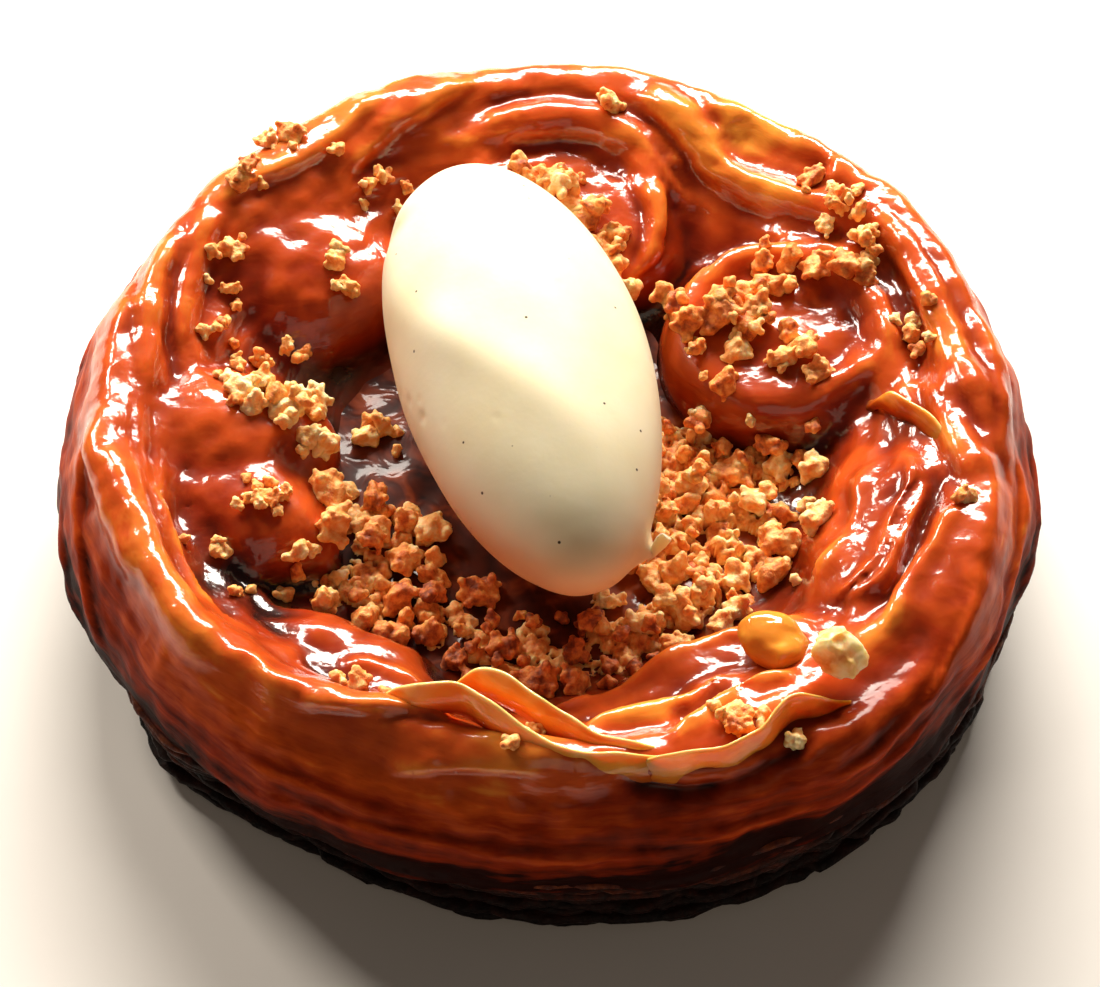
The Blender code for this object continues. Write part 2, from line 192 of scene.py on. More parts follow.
around = np.linspace(0, 2 * math.pi, LEAF_STEPS, endpoint=False)
around = np.where(around > math.pi, around - 2 * math.pi, around)
leaf_points, leaf_faces, leaf_char_and_shade, leaf_count = [], [], [], 0
for leaf, (height, reach, charred_and_shaded) in enumerate(LEAVES):
    climb = height - PASTRY_HEIGHT / MM + 1.6  # above 0 for the scraps that cling to the wall
    ring = np.stack([np.cos(around), np.sin(around), np.full_like(around, leaf * 0.9)], axis=1)
    ragged = lumps(ring * 53, 3.6, 3.1 * leaf) * 0.75 + lumps(ring * 53, 1.3, 7.7 * leaf) * 0.35
    chips = np.clip(lumps(ring * 53, 6.0, 11.3 + leaf) - (0.18 if climb < 0 else 0.05), 0, 1) * 5.0
    swell = smoothstep(PASTRY_HEIGHT / MM, WIDEST_HEIGHT / MM, height)
    outline = waves(PASTRY_WAVES, around) + pastry_corner(around)
    outline = outline + (waves(WALL_WAVES, around) - outline) * swell
    outline = outline + PASTRY_RADIUS + np.interp(height, (6, 8, 10, 13.5), (0, 0.6, 2.0, 3.2)) * MM
    spread = (0.6 if climb > 0 else 1.0) * (ragged - chips)
    edge = np.minimum(outline + (reach + spread) * MM, outline + (1.1 if climb < 0 else 0.9) * MM)
    lift = height * MM + (lumps(ring * 53, 7.0, 2.2 * leaf) * 0.5 * min(leaf, 2) / 2) * MM
    lift = lift + (lumps(ring * 53, 11.0, 1.7 * leaf) * 0.9 * MM if climb > 0 else 0)
    droop = lumps(ring * 53, 4.5, 5.0 + leaf) * 0.45 * MM
    section = [(-8.0, 0.0, 0), (-3.0, 0.0, 0), (-0.6, 0.05, 0.8), (-0.1, 0.3, 1), (0.0, 0.55, 1),
               (-0.15, 0.8, 1), (-0.7, 0.98, 0.8), (-3.0, 1.0, 0), (-8.0, 1.0, 0)]
    for back, up, loose in section:
        radius = edge + back * MM
        rise = np.maximum(lift + droop * loose + up * LEAF_THICKNESS, 0.0)
        if climb < 0:
            rise = np.minimum(rise, PASTRY_HEIGHT)
        leaf_points.append(np.stack([radius * np.cos(around), radius * np.sin(around), rise], axis=1))
        leaf_char_and_shade.append(np.full(LEAF_STEPS, charred_and_shaded) + 0.08 * loose - 0.03 * up)
    leaf_faces.append(closed_grid(len(section), LEAF_STEPS) + leaf_count)
    leaf_count += len(section) * LEAF_STEPS

# The underside, a nearly flat baked face, closed to the middle.
under_radii = np.linspace(49.5, 1.0, 26) * MM
under = []
for radius in under_radii:
    ring = np.stack([radius * np.cos(around), radius * np.sin(around), np.zeros_like(around)], axis=1)
    ring[:, 2] = np.clip(lumps(ring, 5 * MM, 4.4) * 0.35 + 0.12, 0, 1) * MM
    under.append(ring)
    leaf_char_and_shade.append(np.full(LEAF_STEPS, 0.16))
leaf_points += under
leaf_faces.append(closed_grid(len(under), LEAF_STEPS)[:, ::-1] + leaf_count)
leaf_count += len(under) * LEAF_STEPS
hub = np.arange(LEAF_STEPS) + leaf_count - LEAF_STEPS
middle = [[int(a), int(b), leaf_count] for a, b in zip(np.roll(hub, -1), hub)]
leaf_points.append(np.array([[0.0, 0.0, 0.1 * MM]]))
leaf_char_and_shade.append(np.array([0.16]))
pastry = new_piece("flaky_pastry_base", np.concatenate(leaf_points),
                   np.concatenate(leaf_faces).tolist() + middle, pastry_bake)
paint(pastry, "char_and_shade", np.concatenate(leaf_char_and_shade))
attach(pastry, "root")
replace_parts(pastry, "pastry_base")


# ---------------------------------------------------------------------------------------------------------
# Apple bed: apple halves and slices pressed into the tin, cooked in caramel until they sag into each other
# and turned out as one glossy ring with a shallow pit. Halves lie in it cut side up or down, and the
# caramel fills every crease, so it is one skin that carries its folds.
RING_RADIUS = 57.0 * MM  # widest part of the wall
RIM_RADIUS = 51.5 * MM
RIM_HEIGHT = 28.0 * MM
PIT_RADIUS = 33.0 * MM
PIT_FLOOR = 12.8 * MM
BED_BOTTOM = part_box("apple_ring")[0].z
RIM_WAVES = ((1, 1.2, 45), (2, 1.4, -60), (3, 1.3, -44), (4, 0.6, 39), (5, 0.5, 17))
SKIN_GRAIN = 0.56 * MM  # side of the bed's quads

# Centre, radii in mm, turn about Z and tilt in degrees of each half; then middle, radius and depth in mm
# of the hollow that its core left.
HALVES = {
    "apple_half_back_left": [((-31.0, 27.0, 16.8), (15.4, 13.4, 8.6), 20, 0)],
    "apple_half_left": [((-38.0, 0.5, 16.8), (14.0, 10.4, 8.4), -12, 0),
                        ((-35.0, -10.5, 16.0), (11.6, 8.6, 7.6), -20, 0)],
    "apple_half_back": [((1.5, 35.5, 18.0), (16.2, 14.4, 9.6), 0, 2)],
    "apple_half_right": [((28.5, 15.8, 17.6), (15.8, 14.8, 9.6), 10, 0)],
    "apple_piece_front_right": [((37.0, -14.5, 19.0), (8.5, 15.5, 5.6), -16, -28),
                                ((17.0, -33.4, 16.6), (13.5, 5.0, 5.2), 33, 0),
                                ((27.0, -31.5, 19.0), (6.0, 4.5, 4.6), -40, 0)],
    "apple_piece_front_left": [((-22.0, -33.4, 16.0), (15.0, 7.4, 5.0), -34, 0)],
}
HOLLOWS = {
    "apple_half_back": ((1.5, 33.0), 12.5, 4.0),
    "apple_half_right": ((27.4, 14.6), 12.5, 4.2),
}

# How far the bed between the halves and the rim is filled above the plain slope, in mm: a row for each
# bearing in degrees, a column for each radius in mm.
FILL_RADII = [24, 29, 34, 38, 42, 46, 50]
FILL = {
    -165: (0.0, 1.6, 2.6, 2.4, 1.6, 0.8, 0.0), -148: (0.0, 0.8, 1.0, 0.2, -0.4, 0.0, 0.0),
    -120: (0.0, 0.4, 0.8, 0.8, 0.6, 0.4, 0.0), -90: (0.0, 0.2, 1.0, 1.6, 1.4, 0.8, 0.0),
    -75: (0.0, 0.4, 2.4, 3.4, 2.6, 1.2, 0.0), -60: (0.0, 0.6, 3.4, 4.4, 3.4, 1.8, 0.2),
    -40: (0.0, 1.2, 3.0, 4.4, 4.4, 2.6, 0.2),
    -15: (0.0, 1.8, 4.0, 5.4, 5.0, 3.0, 0.2), 20: (0.6, 3.0, 5.0, 5.6, 5.0, 3.2, 0.4),
    55: (1.0, 3.2, 4.6, 4.8, 4.0, 2.8, 0.4), 75: (1.0, 3.0, 5.0, 5.4, 5.0, 3.4, 0.6),
    110: (1.0, 3.4, 5.0, 5.6, 5.2, 3.6, 0.6), 140: (0.6, 2.6, 4.4, 5.0, 4.8, 3.2, 0.5),
    165: (0.4, 2.6, 4.2, 4.4, 3.6, 2.2, 0.2),
}


def uneven(points, size, grain):
    """A smooth irregular push in three directions."""
    return np.stack([lumps(points, grain, np.array((9.0 * axis, 5.0, 3.0))) for axis in range(3)], axis=-1) * size


def settled(points):
    """The round lathed bed, pushed into the uneven outline that it has on its pastry."""
    radius, angle = np.hypot(points[:, 0], points[:, 1]), np.arctan2(points[:, 1], points[:, 0])
    swell = smoothstep(PASTRY_HEIGHT, WIDEST_HEIGHT, points[:, 2])
    rise = smoothstep(WIDEST_HEIGHT, RIM_HEIGHT, points[:, 2])
    inside = smoothstep(PIT_RADIUS * 0.8, RIM_RADIUS, radius)
    low = waves(PASTRY_WAVES, angle) + pastry_corner(angle)
    middle = low + (waves(WALL_WAVES, angle) - low) * swell
    shift = middle + (waves(RIM_WAVES, angle) - middle) * rise
    lift = 0.7 * MM * np.sin(angle) * rise
    scale = ((radius + shift * inside) / np.maximum(radius, 1e-6))[:, None]
    moved = np.column_stack([points[:, :2] * scale, points[:, 2] + lift * inside])
    return moved + uneven(points, 0.9 * MM, 11 * MM) * inside[:, None]


def fill_above(points):
    """How far the fill lifts the bed at each point."""
    radius, bearing = np.hypot(points[:, 0], points[:, 1]) / MM, np.degrees(np.arctan2(points[:, 1], points[:, 0]))
    at_radii = np.array([np.interp(bearing, list(FILL), column, period=360) for column in zip(*FILL.values())])
    place = np.interp(radius, FILL_RADII, np.arange(len(FILL_RADII)))
    low = np.minimum(place.astype(int), len(FILL_RADII) - 2)
    every = np.arange(len(points))
    return (at_radii[low, every] * (low + 1 - place) + at_radii[low + 1, every] * (place - low)) * MM


def spline(points, step):
    """Points every step along a smooth line through those given."""
    points = np.asarray(points, float)
    ends = np.vstack([2 * points[0] - points[1], points, 2 * points[-1] - points[-2]])
    line = []
    for a, b, c, d in zip(ends, ends[1:], ends[2:], ends[3:]):
        count = max(2, int(np.linalg.norm(c - b) / step) + 1)
        t = np.linspace(0, 1, count, endpoint=False)[:, None]
        line.append(0.5 * (2 * b + (c - a) * t + (2 * a - 5 * b + 4 * c - d) * t**2
                           + (3 * b - a - 3 * c + d) * t**3))
    return np.vstack(line + [points[-1:]])


def ball(centre, radii, turn=0.0, tilt=0.0, fineness=5):
    """An ellipsoid's points and faces: tilted about Y, turned about Z, then put in place, from mm."""
    shape = bmesh.new()
    bmesh.ops.create_icosphere(shape, subdivisions=fineness, radius=1.0)
    points = np.array([vertex.co for vertex in shape.verts]) * np.array(radii) * MM
    faces = [[vertex.index for vertex in face.verts] for face in shape.faces]
    shape.free()
    spin = Matrix.Rotation(math.radians(turn), 3, "Z") @ Matrix.Rotation(math.radians(tilt), 3, "Y")
    return points @ np.array(spin).T + np.array(centre) * MM, faces


def dished(points, middle, reach, depth):
    """Lowers the top round a middle, as a shallow bowl with a soft brim."""
    out = np.minimum(np.hypot(points[:, 0] / MM - middle[0], points[:, 1] / MM - middle[1]) / reach, 1)
    top = smoothstep(15 * MM, 19 * MM, points[:, 2])
    return points - np.column_stack([out * 0, out * 0, depth * MM * (1 - out**2) ** 1.5 * (1 + out**2) * top])


def merged(name, shapes, grain):
    """One closed skin, in even quads of that side, over overlapping (points, faces) shapes."""
    points, faces, count = [], [], 0
    for some_points, some_faces in shapes:
        points.append(some_points)
        faces += [[index + count for index in face] for face in some_faces]
        count += len(some_points)
    mesh = bpy.data.meshes.new(name)
    mesh.from_pydata(np.concatenate(points).tolist(), [], faces)
    helper = bpy.data.objects.new(name, mesh)
    bpy.context.scene.collection.objects.link(helper)
    skin = helper.modifiers.new("skin", "REMESH")
    skin.mode, skin.voxel_size = "VOXEL", grain
    bpy.context.view_layer.update()
    made = bpy.data.meshes.new_from_object(helper.evaluated_get(bpy.context.evaluated_depsgraph_get()))
    bpy.data.objects.remove(helper)
    return made


def arrays_of(mesh):
    """Points, edges and quads of a mesh as arrays."""
    points = np.empty(len(mesh.vertices) * 3)
    mesh.vertices.foreach_get("co", points)
    edges = np.empty(len(mesh.edges) * 2, np.int64)
    mesh.edges.foreach_get("vertices", edges)
    faces = np.array([list(face.vertices) for face in mesh.polygons])
    return points.reshape(-1, 3), edges.reshape(-1, 2), faces


def relaxed(points, edges, rounds, share=0.5):
    """Moves each point towards the middle of its neighbours, which rounds creases off."""
    ends = np.concatenate([edges, edges[:, ::-1]])
    count = np.maximum(np.bincount(ends[:, 0], minlength=len(points)), 1)[:, None]
    for _ in range(rounds):
        total = np.stack([np.bincount(ends[:, 0], weights=points[ends[:, 1], axis], minlength=len(points))
                          for axis in range(3)], axis=1)
        points = points + (total / count - points) * share
    return points


def normals_of(points, faces):
    across = np.cross(points[faces[:, 2]] - points[faces[:, 0]], points[faces[:, 3]] - points[faces[:, 1]])
    total = np.stack([np.bincount(faces.ravel(), weights=np.repeat(across[:, axis], 4), minlength=len(points))
                      for axis in range(3)], axis=1)
    return total / np.maximum(np.linalg.norm(total, axis=1, keepdims=True), 1e-12)


def polar(degrees, radius, height):
    """A point in metres from degrees round the tart and millimetres."""
    angle = math.radians(degrees)
    return [radius * math.cos(angle) * MM, radius * math.sin(angle) * MM, height * MM]


def folded(points, normals, route, height, width, kind):
    """Raises (or with a negative height sinks) a fold along a route of (degrees, radius, height).

    A ridge rises on both sides. A band is a flat-topped ridge between two creases, as a limp slice lies.
    A ledge rises only to the left of the route and falls off slowly there, as the edge of one layer does.
    """
    line = spline([polar(*point) for point in route], 0.7 * MM)
    low, high = line.min(axis=0) - 4 * width, line.max(axis=0) + 4 * width
    near = np.where(((points > low) & (points < high)).all(axis=1))[0]
    apart = points[near][:, None] - line[None]
    nearest = np.linalg.norm(apart, axis=2).argmin(axis=1)
    offset = apart[np.arange(len(near)), nearest]
    along = np.gradient(line, axis=0)
    along /= np.linalg.norm(along, axis=1, keepdims=True)
    side = (np.cross(normals[near], along[nearest]) * offset).sum(axis=1)
    fade = smoothstep(0, 0.2, nearest / len(line)) * smoothstep(0, 0.2, 1 - nearest / len(line))
    away = np.linalg.norm(offset - normals[near] * (offset * normals[near]).sum(axis=1)[:, None], axis=1)
    close = np.exp(-((np.linalg.norm(offset, axis=1) / (3.2 * width)) ** 4))
    if kind == "ridge":
        shape = np.exp(-((away / width) ** 2))
    elif kind == "band":
        shape = np.exp(-((away / width) ** 3)) - 0.3 * np.exp(-(((away - 1.5 * width) / (0.45 * width)) ** 2))
    else:
        step = smoothstep(-0.25 * width, 0.25 * width, side)
        shape = step * np.exp(-((away / (2.2 * width)) ** 2))
    push = np.zeros(len(points))
    push[near] = height * shape * fade * close
    return points + normals * push[:, None]


# Glazed apple: flesh that has cooked through in butter caramel, amber and see-through where it is thin and
# red-brown where the caramel has sunk in, under a wet, hard-edged shine. The colour number on each point also
# holds painted light: a painted glow, paler, on thin edges and folds, and painted shade, darker, in creases,
# pockets, low in the pit and down the wall. The top is wet all over, the wall much less. Wrinkles of the skin
# are 3 mm, the ripples in the glaze 1.1 mm.
def glazed_apple(name, pale, amber, deep, dark, coat=0.13):
    material, tree = new_material(name)
    place = add(tree, "ShaderNodeTexCoord")
    # This number brings in the caramel's tone together with painted glow and painted shade.
    caramel_and_painted_light = add(tree, "ShaderNodeAttribute", attribute_name="caramel_and_painted_light")
    wet = add(tree, "ShaderNodeAttribute", attribute_name="wet")
    blotches = add(tree, "ShaderNodeTexNoise", {"Vector": place.outputs["Object"], "Scale": 1 / (7 * MM),
                                                "Detail": 3.0, "Roughness": 0.55, "Distortion": 0.6})
    shift = add(tree, "ShaderNodeMapRange", {"Value": blotches.outputs["Fac"], "From Min": 0.25,
                                             "From Max": 0.75, "To Min": -0.1, "To Max": 0.1})
    flattened = add(tree, "ShaderNodeMapping", {"Vector": place.outputs["Object"], "Scale": (1.0, 1.0, 6.0)})
    layers = add(tree, "ShaderNodeTexNoise", {"Vector": flattened.outputs["Vector"], "Scale": 1 / (7 * MM),
                                              "Detail": 3.0, "Roughness": 0.6, "Distortion": 0.3})
    streaks = add(tree, "ShaderNodeMapRange", {"Value": layers.outputs["Fac"], "From Min": 0.3,
                                               "From Max": 0.7, "To Min": -0.12, "To Max": 0.12})
    dryness = add(tree, "ShaderNodeMath", {0: 1.3, 1: wet.outputs["Fac"]}, operation="SUBTRACT")
    fibres = add(tree, "ShaderNodeMath", {0: streaks.outputs["Result"], 1: dryness.outputs["Value"]},
                 operation="MULTIPLY")
    mottled = add(tree, "ShaderNodeMath", {0: shift.outputs["Result"], 1: fibres.outputs["Value"]},
                  operation="ADD")
    depth = add(tree, "ShaderNodeMath", {0: caramel_and_painted_light.outputs["Fac"], 1: mottled.outputs["Value"]},
                operation="ADD", use_clamp=True)
    colour = add(tree, "ShaderNodeValToRGB", {"Fac": depth.outputs["Value"]},
                 stops=[(0.0, pale), (0.3, amber), (0.62, deep), (1.0, dark)])
    wrinkles = add(tree, "ShaderNodeTexNoise", {"Vector": place.outputs["Object"], "Scale": 1 / (3.6 * MM),
                                                "Detail": 2.0, "Roughness": 0.45, "Distortion": 0.3})
    creased = add(tree, "ShaderNodeBump", {"Height": wrinkles.outputs["Fac"], "Distance": 0.5 * MM,
                                           "Strength": 0.5})
    rippled = add(tree, "ShaderNodeBump", {"Height": layers.outputs["Fac"], "Distance": 0.3 * MM,
                                           "Strength": 0.35, "Normal": creased.outputs["Normal"]})
    tacky = add(tree, "ShaderNodeTexNoise", {"Vector": place.outputs["Object"], "Scale": 1 / (1.5 * MM),
                                             "Detail": 2.0, "Roughness": 0.5})
    broken = add(tree, "ShaderNodeBump", {"Height": tacky.outputs["Fac"], "Distance": 0.16 * MM,
                                          "Strength": 0.5, "Normal": rippled.outputs["Normal"]})
    shader = add(tree, "ShaderNodeBsdfPrincipled", {
        "Base Color": colour.outputs["Color"], "Roughness": 0.5, "IOR": 1.40, "Specular IOR Level": 0.04,
        "Subsurface Weight": 0.35, "Subsurface Radius": (1.0, 0.25, 0.05), "Subsurface Scale": 2.6 * MM,
        "Coat Weight": wet.outputs["Fac"], "Coat Roughness": coat, "Coat IOR": 1.5,
        "Normal": rippled.outputs["Normal"], "Coat Normal": broken.outputs["Normal"]})
    add(tree, "ShaderNodeOutputMaterial", {"Surface": shader.outputs["BSDF"]})
    return material


bed_glaze = glazed_apple("apple_cooked_in_caramel_glazed", "#EE9636", "#C65018", "#8C2806", "#220804")

ring_profile = np.array([
    (0.0, PIT_FLOOR), (PIT_RADIUS * 0.8, PIT_FLOOR + 0.2 * MM), (PIT_RADIUS + 3 * MM, PIT_FLOOR + 2.4 * MM),
    (PIT_RADIUS + 8 * MM, PIT_FLOOR + 6.2 * MM), (RIM_RADIUS - 5.5 * MM, RIM_HEIGHT - 4.6 * MM),
    (RIM_RADIUS - 2 * MM, RIM_HEIGHT - 0.9 * MM), (RIM_RADIUS, RIM_HEIGHT),
    (RIM_RADIUS + 1.5 * MM, RIM_HEIGHT - 1.2 * MM), (RING_RADIUS - 1.4 * MM, WIDEST_HEIGHT + 8 * MM),
    (RING_RADIUS, WIDEST_HEIGHT + 1 * MM), (RING_RADIUS - 1.2 * MM, BED_BOTTOM + 2.4 * MM),
    (PASTRY_RADIUS - 0.8 * MM, BED_BOTTOM), (0.0, BED_BOTTOM)])
profile = spline(np.column_stack([ring_profile[:, 0], ring_profile[:, 1] * 0, ring_profile[:, 1]])[:-1], 0.7 * MM)
profile = np.vstack([profile[:, [0, 2]], [[PIT_RADIUS, BED_BOTTOM]]])
BED_STEPS = 300
spokes = np.linspace(-math.pi, math.pi, BED_STEPS, endpoint=False)
bed_points = np.stack([profile[1:, :1] * np.cos(spokes), profile[1:, :1] * np.sin(spokes),
                       np.repeat(profile[1:, 1:], BED_STEPS, axis=1)], axis=-1)
rows = len(bed_points)
bed_faces = closed_grid(rows, BED_STEPS).tolist()
bed_points = bed_points.reshape(-1, 3)
on_top = (np.hypot(bed_points[:, 0], bed_points[:, 1]) < 50 * MM) & (bed_points[:, 2] > PIT_FLOOR - 0.5 * MM)
bed_points[:, 2] += fill_above(bed_points) * on_top
bed_points = np.vstack([settled(bed_points), [[0, 0, PIT_FLOOR], [0, 0, BED_BOTTOM]]])
last = (rows - 1) * BED_STEPS
for step in range(BED_STEPS):
    after = (step + 1) % BED_STEPS
    bed_faces.append([rows * BED_STEPS, after, step])
    bed_faces.append([rows * BED_STEPS + 1, last + step, last + after])
bed_shapes = [(bed_points, bed_faces)]
for half, bodies in HALVES.items():
    for centre, radii, turn, tilt in bodies:
        points, faces = ball(centre, radii, turn, tilt)
        points = points + uneven(points, (1.2 if "piece" in half else 0.7) * MM, 6 * MM)
        bed_shapes.append((points, faces))
bed_mesh = merged("bed", bed_shapes, SKIN_GRAIN)
points, edges, faces = arrays_of(bed_mesh)
points = relaxed(points, edges, 14)
for hollow in HOLLOWS.values():
    points = dished(points, *hollow)
points = relaxed(points, edges, 10)

